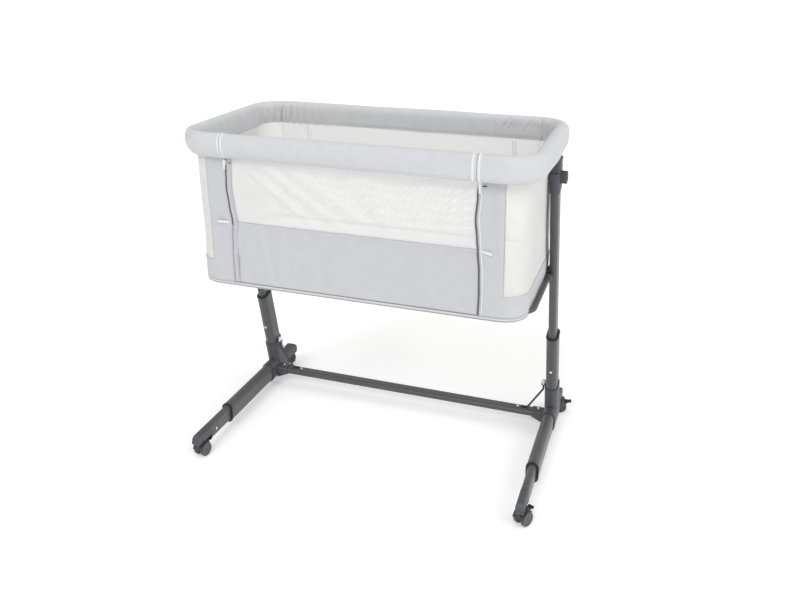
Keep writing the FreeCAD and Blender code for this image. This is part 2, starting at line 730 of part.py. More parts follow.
def knob():
    """Ribbed hand knob with its stem."""
    out = inner_w / 2 + bracket_wall + fit + bracket_boss + run
    r = knob_diameter / 2
    body = rod(r, knob_centre(out), knob_centre(out + knob_thick))
    body = body.makeFillet(2.5, [e for e in body.Edges if e.BoundBox.XMin > stand_x + out + knob_thick - 1
                                 and e.Length > 1.5 * knob_diameter])
    cuts = []
    for k in range(knob_grips):
        angle = 2 * math.pi * k / knob_grips
        offset = V(0, math.cos(angle), math.sin(angle)) * (r + grip_out)
        start, end = knob_centre(out - 1) + offset, knob_centre(out + knob_thick + 1) + offset
        cuts.append(rod(grip_radius, start, end))
    dish = rod(r * 0.45, knob_centre(out + knob_thick - 1.2), knob_centre(out + knob_thick + 1))
    stem = rod(knob_stem / 2, knob_centre(inner_w / 4), knob_centre(out + 1))
    return body.cut(cuts + [dish]).fuse(stem)


def frame_clips():
    """Moulded clip that joins the lower frame's end member to each upright."""
    grow = 2 * (clip_wall + fit)
    low, high = s_of(frame_z - clip_below), s_of(frame_z + clip_above)
    sleeve = on_upright(oval_bar(inner_w + grow, inner_h + grow, low, high))
    trim = box(0, wall_length_top / 2 + 2 * run, basket_y - deep, basket_y + deep, 0, rim_top)
    end_x = frame_length / 2
    nose = basket_y + hub_back - lean_sin * s_of(frame_z) - inner_h / 2
    reach = frame_tube / 2 + lug_wall
    lug = box(end_x - frame_tube / 2 + 2 * run, end_x + reach, nose - lug_ahead, nose + lug_behind,
              frame_z - reach, frame_z + reach - 2)
    lug = rounded_along(lug, Y, lug_wall / 2)
    bore = on_upright(oval_bar(inner_w + 2 * fit, inner_h + 2 * fit, low - 9, high + 9))
    clip = sleeve.cut(trim).fuse(lug).cut([bore, frame_ring(frame_tube / 2 + fit)])
    return both_sides(clip)


# ---------------------------------------------------------------- feet
def cap_profile(y_axis, toward, half_h):
    """Side view of an end cap over a caster, extruded across; toward is +1 for the rear."""
    top = foot_z + half_h
    nose = y_axis + toward * cap_nose
    root = y_axis - toward * (cap_reach - cap_plate)
    start = y_axis - toward * cap_nose * 0.3
    low_nose = cap_base + cap_lip
    reach, drop = abs(nose - start), top - low_nose
    mid = V(0, start + toward * reach * math.sqrt(0.5), low_nose + drop * math.sqrt(0.5))
    edges = [
        Part.makeLine(V(0, root, cap_base), V(0, root, top)),
        Part.makeLine(V(0, root, top), V(0, start, top)),
        Part.Arc(V(0, start, top), mid, V(0, nose, low_nose)).toShape(),
        Part.Arc(V(0, nose, low_nose), V(0, nose - toward * 1.5, cap_base + 3),
                 V(0, nose - toward * 5, cap_base)).toShape(),
        Part.makeLine(V(0, nose - toward * 5, cap_base), V(0, root, cap_base)),
    ]
    return moved(Part.Face(Part.Wire(edges)), V(stand_x - outer_w, 0, 0)).extrude(V(2 * outer_w, 0, 0))


def end_cap(axis_depth, toward, width, height):
    """Moulded cap on a foot's end: plug in the tube, end plate and a nose over the caster's stem."""
    y_axis = basket_y + axis_depth
    half_h = height / 2
    root = axis_depth - toward * cap_reach
    z0, z1 = sorted((root, axis_depth + toward * (cap_nose + 1)))
    nose = on_foot(oval_bar(width, height, z0, z1)).common(cap_profile(y_axis, toward, half_h))
    plate = on_foot(oval_bar(width, height, *sorted((root, root + toward * cap_plate))))
    room = 2 * (tube_wall + fit)
    plug_ends = sorted((root - toward * cap_plug, root + toward))
    plug = on_foot(oval_bar(width - room, height - room, *plug_ends))
    stem_foot = V(stand_x, y_axis, cap_base - hood_room)
    stem = rod(stem_radius + shaft_fit, stem_foot, stem_foot + Z * (stem_length + 2 * hood_room))
    return nose.fuse([plate, plug]).cut(stem)


def foot_extension():
    """Inner foot tube, with the hole of its push button in the inner side."""
    start, end = cap_reach - front_swivel, foot_overlap - foot_mouth_front
    tube = on_foot(oval_tube(inner_w, inner_h, tube_wall, start, end))
    hole = rod(button_radius + shaft_fit, V(stand_x, basket_y - foot_button_front, foot_z),
               V(stand_x - inner_w, basket_y - foot_button_front, foot_z))
    return tube.cut(hole)


def button():
    """Push button with a domed head: inner end at z = 0, head towards +z."""
    base_z = tube_wall + button_proud - button_dome
    shank = Part.makeCylinder(button_radius, base_z, O, Z)
    ball = (button_radius ** 2 + button_dome ** 2) / (2 * button_dome)
    dome = Part.makeSphere(ball, V(0, 0, base_z + button_dome - ball))
    dome = dome.common(Part.makeCylinder(button_radius, 2 * button_dome, V(0, 0, base_z), Z))
    return shank.fuse(dome)


def upright_button():
    shape = turned(button(), O, X, 90)
    return on_upright(moved(shape, V(0, -(outer_h / 2 - tube_wall), s_of(button_z))))


def foot_button():
    shape = turned(button(), O, Y, -90)
    inside = stand_x - inner_w / 2 + tube_wall
    return moved(shape, V(inside, basket_y - foot_button_front, foot_z))


# ---------------------------------------------------------------- casters
def hood():
    """Arched guard over both wheels."""
    half = wheel_gap / 2 + wheel_width - 0.4
    outer = wheel_radius + hood_gap + hood_thick
    centre = V(-half, trail, wheel_radius)
    shell = Part.makeCylinder(outer, 2 * half, centre, X)
    shell = shell.cut(Part.makeCylinder(wheel_radius + hood_gap, 2 * half, centre, X))
    reach = 2 * outer
    start, stop = math.radians(50), math.radians(172)
    wedge = Part.makePolygon([centre, centre + V(0, math.cos(start), math.sin(start)) * reach,
                              centre + V(0, 0, reach * 1.3),
                              centre + V(0, math.cos(stop), math.sin(stop)) * reach, centre])
    return shell.common(Part.Face(wedge).extrude(V(2 * half, 0, 0)))


def caster_housing():
    """Central web between the wheels, hood, bearing plate and stem."""
    web_half = wheel_gap / 2 - web_gap
    top = cap_base - run
    ear = lever_hub - 0.7
    side = Part.makePolygon([
        V(-web_half, -web_ahead, wheel_radius + web_foot), V(-web_half, -web_ahead, top),
        V(-web_half, plate_radius - plate_thick, top), V(-web_half, lever_y + ear, lever_z + ear),
        V(-web_half, lever_y + ear, lever_z - ear), V(-web_half, 2 * trail, wheel_radius - web_foot),
        V(-web_half, trail - 2 * lever_hub, wheel_radius / 2),
        V(-web_half, -web_ahead, wheel_radius + web_foot)])
    web = Part.Face(side).extrude(V(2 * web_half, 0, 0))
    lever_room = lever_y - lever_hub - 1.3
    cheek = box(lever_web, wheel_gap, lever_room, lever_end, lever_z - wheel_radius, lever_z + wheel_radius)
    web = web.cut(both_sides(cheek))
    plate = Part.makeCylinder(plate_radius, plate_thick, V(0, 0, top - plate_thick), Z)
    stem = Part.makeCylinder(stem_radius, stem_length, V(0, 0, top - 1), Z)
    body = web.fuse([hood(), plate, stem])
    wide = wheel_gap + wheel_width
    axle = rod(axle_radius + shaft_fit, V(-wide, trail, wheel_radius), V(wide, trail, wheel_radius))
    pin = rod(lever_pin + shaft_fit, V(-wide, lever_y, lever_z), V(wide, lever_y, lever_z))
    wheel_middle = V(wheel_gap / 2 - run, trail, wheel_radius)
    room = rod(wheel_radius + 0.5, wheel_middle, wheel_middle + X * (wheel_width + 1))
    return body.cut([axle, pin] + both_sides(room))


def caster_wheels():
    """Two dished wheels and the axle that carries them."""
    inner, outer, r = wheel_gap / 2, wheel_gap / 2 + wheel_width, wheel_radius
    bore = axle_radius + fit / 2
    profile = [V(inner, bore, 0), V(inner, r - 1.5, 0), V(inner + 1.5, r, 0), V(outer - 2.0, r, 0),
               V(outer, r - 2.0, 0), V(outer, r - 4.5, 0), V(outer - 1.2, r - 5.0, 0),
               V(outer - 1.2, 6.5, 0), V(outer - 0.2, 5.5, 0), V(outer - 0.2, bore, 0), V(inner, bore, 0)]
    wheel = Part.Face(Part.makePolygon(profile)).revolve(O, X, 360)
    axle = Part.makeCylinder(axle_radius, 2 * outer - 2.0, V(1.0 - outer, 0, 0), X)
    return [moved(s, V(0, trail, wheel_radius)) for s in both_sides(wheel) + [axle]]


def caster_brake():
    """Foot lever: two cheeks on a pin through the web, and a tread plate."""
    solids = []
    near, far = lever_web + run, lever_web + run + lever_cheek
    arms = both_sides(box(near, far, lever_y, lever_y + 8, lever_z - lever_cheek, lever_z + lever_cheek))
    bosses = both_sides(Part.makeCylinder(lever_hub, lever_cheek, V(near, lever_y, lever_z), X))
    pin = Part.makeCylinder(lever_pin, 2 * far, V(-far, lever_y, lever_z), X)
    top = lever_z + lever_cheek
    tread = box(-lever_width / 2, lever_width / 2, lever_y + lever_hub + 2, lever_end, top - lever_thick, top)
    far_edges = [e for e in tread.Edges if e.BoundBox.YMin > lever_end - 0.1]
    corners = [e for e in far_edges if e.BoundBox.ZLength > lever_thick / 2]
    return arms[0].fuse([arms[1]] + bosses + [pin, tread.makeFillet(lever_thick, corners)])


def place_caster(shape, corner):
    """Sets a caster part, modelled on its own swivel axis, under one corner of the stand."""
    side = 1 if corner.endswith("right") else -1
    depth = -front_swivel if corner.startswith("front") else rear_swivel
    return moved(turned(shape, O, Z, caster_turn[corner]), V(side * stand_x, basket_y + depth, 0))


# ---------------------------------------------------------------- fasteners
def hub_screw_shanks():
    """Start, direction, radius and length of the screws in the right-hand hub."""
    top = bar_top + fit + hub_wall
    side = on_upright(Part.Vertex(0, side_screw_back, side_screw_rise)).Point
    return [(V(stand_x - socket_screw_x, bar_y, top), -Z, screw_r, 8.0),
            (V(hub_side_x, side.y, side.z), X, screw_r, 8.0)]


def bar_screw_shanks():
    """Screws in the right-hand end of the crossbar: through the socket and beside the brace."""
    return [(V(stand_x - socket_screw_x, bar_y, bar_top + 5), -Z, screw_r, 12.0),
            (V(stand_x - brace_screw_x, bar_y, bar_top), -Z, screw_r, 6.0)]


def bracket_screw_shanks():
    side = stand_x + inner_w / 2 + bracket_wall + fit
    return [(V(side, bracket_y, pad_low - bracket_screw_drop), -X, small_r, 10.0)]


def screw(start, direction, radius, length, head):
    """Pan-head screw: the shank lies in its hole and the head outside it."""
    body = rod(radius, start, start + direction * (length - 0.5))
    far = start - direction * (fit + head_height)
    cap = rod(head, far, start - direction * fit)
    rim = [e for e in cap.Edges if (e.CenterOfMass - far).Length < 0.1]
    return fused(body, cap.makeFillet(1.2, rim), rod(radius, start - direction * fit, start))


def stand_fasteners():
    """Screws of the crossbar sockets, the hubs' sides and the braces."""
    start, direction, radius, length = bar_screw_shanks()[1]
    solids = [screw(a, d, r, n, screw_head) for a, d, r, n in hub_screw_shanks()]
    solids.append(screw(start, direction, radius, length, screw_head))
    return solids + [mirrored(s) for s in solids]


def bracket_screws():
    solids = [screw(a, d, r, n, small_head) for a, d, r, n in bracket_screw_shanks()]
    return solids + [mirrored(s) for s in solids]


# ---------------------------------------------------------------- assembly
def pair(name, solid):
    return {name + "_right": [solid], name + "_left": [mirrored(solid)]}


def build():
    """Every node of the crib: its name and its list of solids."""
    nodes = {
        "crossbar": crossbar(), "tube_collars": tube_collars(), "brace_rods": brace_rods(),
        "stand_fasteners": stand_fasteners(),
        "frame_clips": frame_clips(), "top_rail": top_rail(), "rail_sockets": rail_sockets(),
        "lower_frame": lower_frame(), "base_board": base_board(), "rim_pad": rim_pad(),
        "back_mesh": back_mesh(), "skirt": skirt(), "base_cover": base_cover(), "base_piping": base_piping(),
        "zip_chains": zip_chains(), "webbing_loops": webbing_loops(), "bracket_screws": bracket_screws(),
        "front_rail": front_rail(), "front_rim_pad": front_rim_pad(),
        "front_window": front_window(), "front_panel": front_panel(),
        "mattress": mattress(),
    }
    nodes.update(pair("hub", hub()))
    nodes.update(pair("outer_upright", outer_upright()))
    nodes.update(pair("foot_tube", foot_tube()))
    nodes.update(pair("rear_cap", end_cap(rear_swivel, 1, outer_w, outer_h)))
    nodes.update(pair("inner_upright", inner_upright()))
    nodes.update(pair("top_bracket", top_bracket()))
    nodes.update(pair("end_mesh", end_mesh()))
    nodes.update(pair("foot_extension", foot_extension()))
    nodes.update(pair("front_cap", end_cap(-front_swivel, -1, inner_w, inner_h)))
    nodes.update(pair("knob", knob()))
    nodes.update(pair("upright_button", upright_button()))
    nodes.update(pair("foot_button", foot_button()))
    nodes.update(pair("zip_slider", zip_slider()))
    housing, wheels, brake = caster_housing(), caster_wheels(), caster_brake()
    for corner in caster_turn:
        nodes["caster_housing_" + corner] = [place_caster(housing, corner)]
        nodes["caster_wheels_" + corner] = [place_caster(w, corner) for w in wheels]
        nodes["caster_brake_" + corner] = [place_caster(brake, corner)]
    return nodes


def export(nodes):
    os.makedirs("parts", exist_ok=True)
    for name, solids in nodes.items():
        found = [s for solid in solids for s in solid.Solids]
        shape = found[0] if len(found) == 1 else Part.makeCompound(found)
        shape.exportStep(os.path.join("parts", name + ".step"))


crib = build()
export(crib)
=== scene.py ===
"""Looks of the bedside crib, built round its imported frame. All lengths are in metres."""
import json
import math
import random

import bpy
import numpy as np
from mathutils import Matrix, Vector, noise


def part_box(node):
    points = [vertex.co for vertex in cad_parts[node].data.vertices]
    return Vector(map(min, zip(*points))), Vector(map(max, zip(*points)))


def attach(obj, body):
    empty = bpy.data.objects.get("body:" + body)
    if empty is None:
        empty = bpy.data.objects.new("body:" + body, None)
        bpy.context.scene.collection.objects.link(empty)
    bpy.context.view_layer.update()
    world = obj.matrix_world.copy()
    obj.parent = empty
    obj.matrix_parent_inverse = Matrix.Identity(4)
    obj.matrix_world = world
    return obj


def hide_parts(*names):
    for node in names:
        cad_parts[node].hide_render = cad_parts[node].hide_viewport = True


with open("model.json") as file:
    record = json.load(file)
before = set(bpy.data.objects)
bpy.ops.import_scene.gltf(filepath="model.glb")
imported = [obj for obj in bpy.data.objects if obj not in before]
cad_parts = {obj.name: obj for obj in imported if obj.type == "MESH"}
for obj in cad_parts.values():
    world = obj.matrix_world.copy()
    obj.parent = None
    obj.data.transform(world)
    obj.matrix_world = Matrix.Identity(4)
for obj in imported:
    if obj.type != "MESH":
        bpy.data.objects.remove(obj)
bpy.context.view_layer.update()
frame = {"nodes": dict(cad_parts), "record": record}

# ---------------------------------------------------------------- sizes
rim_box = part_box("rim_pad")
MID_Y = (rim_box[0].y + rim_box[1].y) / 2          # the basket's mid-depth
RIM_X, RIM_Y = rim_box[1].x, rim_box[1].y - MID_Y  # half length and half depth of the rim
RIM_LOW, RIM_TOP = rim_box[0].z, rim_box[1].z
RIM_CORNER = 0.095
PAD_THICK = 0.036
FLOOR_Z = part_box("base_cover")[0].z
WALL_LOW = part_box("skirt")[0].z
WALL_FOOT = (0.443, 0.210, 0.066)   # half length, half depth and corner radius of the walls
WALL_HEAD = (0.447, 0.228, 0.078)
BAND_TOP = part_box("end_mesh_left")[0].z
SILL_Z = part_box("front_window")[0].z
PANEL_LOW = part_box("front_panel")[0].z
PIPING_LOW, PIPING_HIGH = (corner.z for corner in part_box("base_piping"))
ZIP_X = 0.3285
PANEL_X, STRIP_X = 0.3277, 0.3293   # edges of the drop side and of the fixed side at the zip
MESH_X = 0.390                      # edge between the grey strips and the end meshes
SEAM_TAPES = (-0.302, 0.320)        # joins of the back net
TAB_Z = 0.7155                      # webbing loops beside the zips
NET_INSET = 0.0014                  # the nets lie just behind the grey cloth
CLOTH_THICK, NET_THICK = 0.0012, 0.0006
LEFT_END_SLIM = 0.0065              # the rim is this much thinner at its left end
RIGHT_END_PROUD = 0.0042            # and this much thicker where it hides the right bracket


# ---------------------------------------------------------------- small helpers
def smooth(x):
    """Smooth step from 0 to 1."""
    x = np.clip(x, 0, 1)
    return x * x * (3 - 2 * x)


def bump(x, width):
    """Soft ridge of height 1 at x = 0."""
    return np.exp(-(x / width) ** 2)


def fold(x, width):
    """Sharp crease at x = 0 between two low swells."""
    return -bump(x, width) + 0.45 * bump(np.abs(x) - 2.1 * width, 1.1 * width)


def outline(s, half_x, half_y, r):
    """Places and outward normals at arc lengths s round the basket, from the front's middle towards +X."""
    a, b, quarter = half_x - r, half_y - r, math.pi * r / 2
    runs = np.cumsum([0, a, quarter, 2 * b, quarter, 2 * a, quarter, 2 * b, quarter, a])
    s = np.mod(np.asarray(s, float), runs[-1])
    place, normal = np.zeros(s.shape + (2,)), np.zeros(s.shape + (2,))
    straight = {0: ((0, -half_y), (1, 0), (0, -1)), 2: ((half_x, -b), (0, 1), (1, 0)),
                4: ((a, half_y), (-1, 0), (0, 1)), 6: ((-half_x, b), (0, -1), (-1, 0)),
                8: ((-a, -half_y), (1, 0), (0, -1))}
    centres = {1: (a, -b), 3: (a, b), 5: (-a, b), 7: (-a, -b)}
    for k in range(9):
        here = (s >= runs[k]) & (s <= runs[k + 1])
        t = (s[here] - runs[k])[:, None]
        if k in straight:
            start, along, out = (np.array(v, float) for v in straight[k])
            place[here], normal[here] = start + along * t, out
        else:
            angle = math.pi / 2 * ((k - 1) / 2 - 1) + t[:, 0] / r
            out = np.stack([np.cos(angle), np.sin(angle)], 1)
            place[here], normal[here] = np.array(centres[k]) + out * r, out
    return place + np.array((0, MID_Y)), normal


def whole_length(half_x, half_y, r):
    """Length of an outline once round."""
    return 4 * (half_x + half_y - 2 * r) + 2 * math.pi * r


def front_at(x):
    """Rule for the arc length at which the front of an outline reaches x."""
    def rule(half_x, half_y, r):
        a = half_x - r
        if abs(x) <= a:
            return x
        return math.copysign(a + r * math.asin(min(1, (abs(x) - a) / r)), x)
    return rule


def back_at(x):
    """Rule for the arc length at which the back of an outline reaches x."""
    def rule(half_x, half_y, r):
        return whole_length(half_x, half_y, r) / 2 - front_at(x)(half_x, half_y, r)
    return rule


def front_end(x):
    """As front_at, but reached by going all the way round."""
    def rule(half_x, half_y, r):
        return whole_length(half_x, half_y, r) + front_at(x)(half_x, half_y, r)
    return rule


def wall_size(z):
    """Half length, half depth and corner radius of the walls at height z."""
    t = (z - WALL_LOW) / (RIM_LOW - WALL_LOW)
    return tuple(f + t * (h - f) for f, h in zip(WALL_FOOT, WALL_HEAD))


def wall_front(x, z, out=0.0):
    """A point on the front wall, or out in front of it."""
    return np.array((x, MID_Y - wall_size(z)[1] - out, z))


def mesh_object(name, points, faces, uvs=None):
    """Object of points and faces, with cloth coordinates where they are given."""
    mesh = bpy.data.meshes.new(name)
    mesh.from_pydata([tuple(p) for p in points], [], faces)
    mesh.validate()
    if uvs is not None:
        layer = mesh.uv_layers.new(name="cloth")
        flat = np.array([uvs[loop.vertex_index] for loop in mesh.loops], np.float32)
        layer.data.foreach_set("uv", flat.ravel())
    for polygon in mesh.polygons:
        polygon.use_smooth = True
    thing = bpy.data.objects.new(name, mesh)
    bpy.context.scene.collection.objects.link(thing)
    return thing


def grid_faces(rows, columns, closed_columns=False, closed_rows=False, first=0):
    """Four-sided faces of a grid of points, counted from index first."""
    faces = []
    for i in range(rows if closed_rows else rows - 1):
        for j in range(columns if closed_columns else columns - 1):
            k, m = (i + 1) % rows, (j + 1) % columns
            faces.append(tuple(first + n for n in (i * columns + j, i * columns + m, k * columns + m,
                                                   k * columns + j)))
    return faces


def patch_object(name, patches):
    """One mesh of several grids; points that two grids share are joined."""
    points, uvs, faces = [], [], []
    for grid, uv, closed_columns, closed_rows in patches:
        faces += grid_faces(*grid.shape[:2], closed_columns, closed_rows, sum(len(p) for p in points))
        points.append(grid.reshape(-1, 3))
        uvs.append(uv.reshape(-1, 2))
    points, uvs = np.concatenate(points), np.concatenate(uvs)
    keys, kept, new_index = {}, [], []
    for k, key in enumerate(map(tuple, np.round(points / 2e-5).astype(int))):
        if key not in keys:
            keys[key] = len(kept)
            kept.append(k)
        new_index.append(keys[key])
    faces = [tuple(dict.fromkeys(new_index[n] for n in face)) for face in faces]
    return mesh_object(name, points[kept], [face for face in faces if len(face) > 2], uvs[kept])


def grid_object(name, grid, uv_grid, closed_columns=False, closed_rows=False):
    """Object of one grid of points."""
    rows, columns = grid.shape[:2]
    return mesh_object(name, grid.reshape(-1, 3), grid_faces(rows, columns, closed_columns, closed_rows),
                       uv_grid.reshape(-1, 2))


def tube_grid(path, radii, flat=1.0, around=10):
    """Grid of a round or flattened tube along a path, closed at its ends."""
    path = np.asarray(path, float)
    along = np.gradient(path, axis=0)
    along /= np.linalg.norm(along, axis=1)[:, None]
    side = np.cross(along, (0.0, 1.0, 0.0))
    side /= np.linalg.norm(side, axis=1)[:, None]
    deep = np.cross(side, along)
    radii = np.broadcast_to(radii, len(path))
    angle = np.linspace(0, 2 * math.pi, around, endpoint=False)
    ring = np.cos(angle)[None, :, None] * side[:, None] + flat * np.sin(angle)[None, :, None] * deep[:, None]
    grid = path[:, None] + ring * radii[:, None, None]
    ends = [path[0] + (grid[0] - path[0]) * 0.05, path[-1] + (grid[-1] - path[-1]) * 0.05]
    grid = np.concatenate([ends[0][None], grid, ends[1][None]])
    length = np.concatenate([[0, 0], np.cumsum(np.linalg.norm(np.diff(path, axis=0), axis=1))])
    length = np.append(length, length[-1])
    uv = np.stack(np.meshgrid(length, np.linspace(0, 0.01, around), indexing="ij"), -1)
    return grid, uv


def tube_object(name, path, radii, flat=1.0):
    """Round or flattened tube along a path, as an object."""
    grid, uv = tube_grid(path, radii, flat)
    return grid_object(name, grid, uv, closed_columns=True)


def finish_piece(piece, material, body, *replaced):
    """Gives a piece its material, its body and the nodes that it stands for."""
    piece.data.materials.clear()
    piece.data.materials.append(MATERIALS[material])
    if replaced:
        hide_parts(*replaced)
    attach(piece, body)
    return piece


def thicken(piece, thickness, offset=-1.0):
    """Gives a sheet its thickness, inwards of its face."""
    solid = piece.modifiers.new("thickness", "SOLIDIFY")
    solid.thickness, solid.offset = thickness, offset
    return piece


# ---------------------------------------------------------------- materials
def node(tree, kind, **values):
    """New shader node: a value goes to the input of that name, or else to the node itself."""
    made = tree.nodes.new(kind)
    for key, value in values.items():
        if key in made.inputs:
            made.inputs[key].default_value = value
        else:
            setattr(made, key, value)
    return made


def new_material(name):
    """Empty material with its node tree and its shader."""
    made = bpy.data.materials.new(name)
    made.use_nodes = True
    return made, made.node_tree, made.node_tree.nodes["Principled BSDF"]


def coordinates(tree, scale, source="Object"):
    """Scaled coordinates of the object or of its cloth."""
    where = node(tree, "ShaderNodeTexCoord")
    mapping = node(tree, "ShaderNodeMapping")
    mapping.inputs["Scale"].default_value = scale if hasattr(scale, "__len__") else (scale,) * 3
    tree.links.new(where.outputs[source], mapping.inputs["Vector"])
    return mapping.outputs["Vector"]


def two_tone(tree, shader, low, high, vector, scale, detail=3.0):
    """Base colour that wanders between two close tones."""
    tone = node(tree, "ShaderNodeTexNoise", Scale=scale, Detail=detail)
    tree.links.new(vector, tone.inputs["Vector"])
    ramp = node(tree, "ShaderNodeValToRGB")
    ramp.color_ramp.elements[0].position, ramp.color_ramp.elements[1].position = 0.35, 0.65
    ramp.color_ramp.elements[0].color, ramp.color_ramp.elements[1].color = (*low, 1), (*high, 1)
    tree.links.new(tone.outputs["Fac"], ramp.inputs["Fac"])
    tree.links.new(ramp.outputs["Color"], shader.inputs["Base Color"])
    return ramp


def add_bump(tree, shader, height, strength, distance, below=None):
    """Bump from a height, over the relief below it."""
    relief = node(tree, "ShaderNodeBump", Strength=strength, Distance=distance)
    tree.links.new(height, relief.inputs["Height"])
    if below is not None:
        tree.links.new(below, relief.inputs["Normal"])
    tree.links.new(relief.outputs["Normal"], shader.inputs["Normal"])
    return relief.outputs["Normal"]


def shade(colour, factor):
    """A lighter or darker colour."""
    return tuple(min(1, c * factor) for c in colour)


def woven(name, colour, thread=0.0007, contrast=0.018, crumple=0.3):
    """Plain-weave cotton: warp and weft, slubs, soft creasing and a little sheen."""
    material, tree, shader = new_material(name)
    cloth = coordinates(tree, 1.0, "UV")
    two_tone(tree, shader, shade(colour, 1 - contrast), shade(colour, 1 + contrast), cloth, 35.0, 6.0)
    waves = []
    for direction in ("X", "Y"):
        wave = node(tree, "ShaderNodeTexWave", Scale=1 / thread / 6.283, Distortion=1.2)
        wave.bands_direction = direction
        tree.links.new(cloth, wave.inputs["Vector"])
        waves.append(wave)
    weave = node(tree, "ShaderNodeMath", operation="MULTIPLY")
    for k, wave in enumerate(waves):
        tree.links.new(wave.outputs["Fac"], weave.inputs[k])
    creases = node(tree, "ShaderNodeTexNoise", Scale=22.0, Detail=5.0, Roughness=0.55)
    tree.links.new(cloth, creases.inputs["Vector"])
    below = add_bump(tree, shader, creases.outputs["Fac"], crumple, 0.004)
    add_bump(tree, shader, weave.outputs["Value"], 0.35, 0.0004, below)
    shader.inputs["Roughness"].default_value = 0.9
    shader.inputs["Sheen Weight"].default_value = 0.12
    shader.inputs["Sheen Roughness"].default_value = 0.45
    shader.inputs["Specular IOR Level"].default_value = 0.2
    return material


def netting(name, colour, pitch, openness):
    """Knitted net: rows of small round holes in a soft white yarn."""
    material, tree, shader = new_material(name)
    cloth = coordinates(tree, 1 / pitch, "UV")
    two_tone(tree, shader, shade(colour, 0.97), colour, cloth, 0.05, 4.0)
    cells = node(tree, "ShaderNodeTexVoronoi", Scale=1.0, Randomness=0.15)
    cells.voronoi_dimensions, cells.feature = "2D", "F1"
    tree.links.new(cloth, cells.inputs["Vector"])
    holes = node(tree, "ShaderNodeMapRange")
    holes.inputs["From Min"].default_value = openness
    holes.inputs["From Max"].default_value = openness + 0.12
    tree.links.new(cells.outputs["Distance"], holes.inputs["Value"])
    tree.links.new(holes.outputs["Result"], shader.inputs["Alpha"])
    add_bump(tree, shader, cells.outputs["Distance"], 0.5, 0.0006)
    shader.inputs["Roughness"].default_value = 0.85
    shader.inputs["Sheen Weight"].default_value = 0.1
    shader.inputs["Specular IOR Level"].default_value = 0.2
    return material


def coated(name, colour, rough=0.42, grain=900.0, strength=0.12):
    """Powder coat or moulded plastic: fine orange peel, faint tone drift and dulled patches."""
    material, tree, shader = new_material(name)
    place = coordinates(tree, 1.0)
    two_tone(tree, shader, shade(colour, 0.93), shade(colour, 1.07), place, 14.0)
    peel = node(tree, "ShaderNodeTexNoise", Scale=grain, Detail=2.0)
    tree.links.new(place, peel.inputs["Vector"])
    add_bump(tree, shader, peel.outputs["Fac"], strength, 0.0003)
    wear = node(tree, "ShaderNodeTexNoise", Scale=45.0, Detail=4.0)
    tree.links.new(place, wear.inputs["Vector"])
    spread = node(tree, "ShaderNodeMapRange")
    spread.inputs["To Min"].default_value, spread.inputs["To Max"].default_value = rough - 0.06, rough + 0.08
    tree.links.new(wear.outputs["Fac"], spread.inputs["Value"])
    tree.links.new(spread.outputs["Result"], shader.inputs["Roughness"])
    return material


def zip_teeth(name, colour):
    """Coil of moulded teeth: fine ribs across the chain."""
    material, tree, shader = new_material(name)
    place = coordinates(tree, 1.0)
    two_tone(tree, shader, shade(colour, 0.8), shade(colour, 1.25), place, 500.0)
    ribs = node(tree, "ShaderNodeTexWave", Scale=1 / 0.0022 / 6.283)
    ribs.bands_direction = "Z"
    tree.links.new(place, ribs.inputs["Vector"])
    add_bump(tree, shader, ribs.outputs["Fac"], 0.8, 0.0007)
    shader.inputs["Roughness"].default_value = 0.45
    return material


def bright_metal(name, colour, rough):
    """Bare or plated metal, faintly brushed."""
    material, tree, shader = new_material(name)
    place = coordinates(tree, 1.0)
    two_tone(tree, shader, shade(colour, 0.9), colour, place, 120.0)
    shader.inputs["Metallic"].default_value = 1.0
    brushed = node(tree, "ShaderNodeTexNoise", Scale=700.0, Detail=2.0)
    tree.links.new(place, brushed.inputs["Vector"])
    add_bump(tree, shader, brushed.outputs["Fac"], 0.08, 0.0002)
    shader.inputs["Roughness"].default_value = rough
    return material


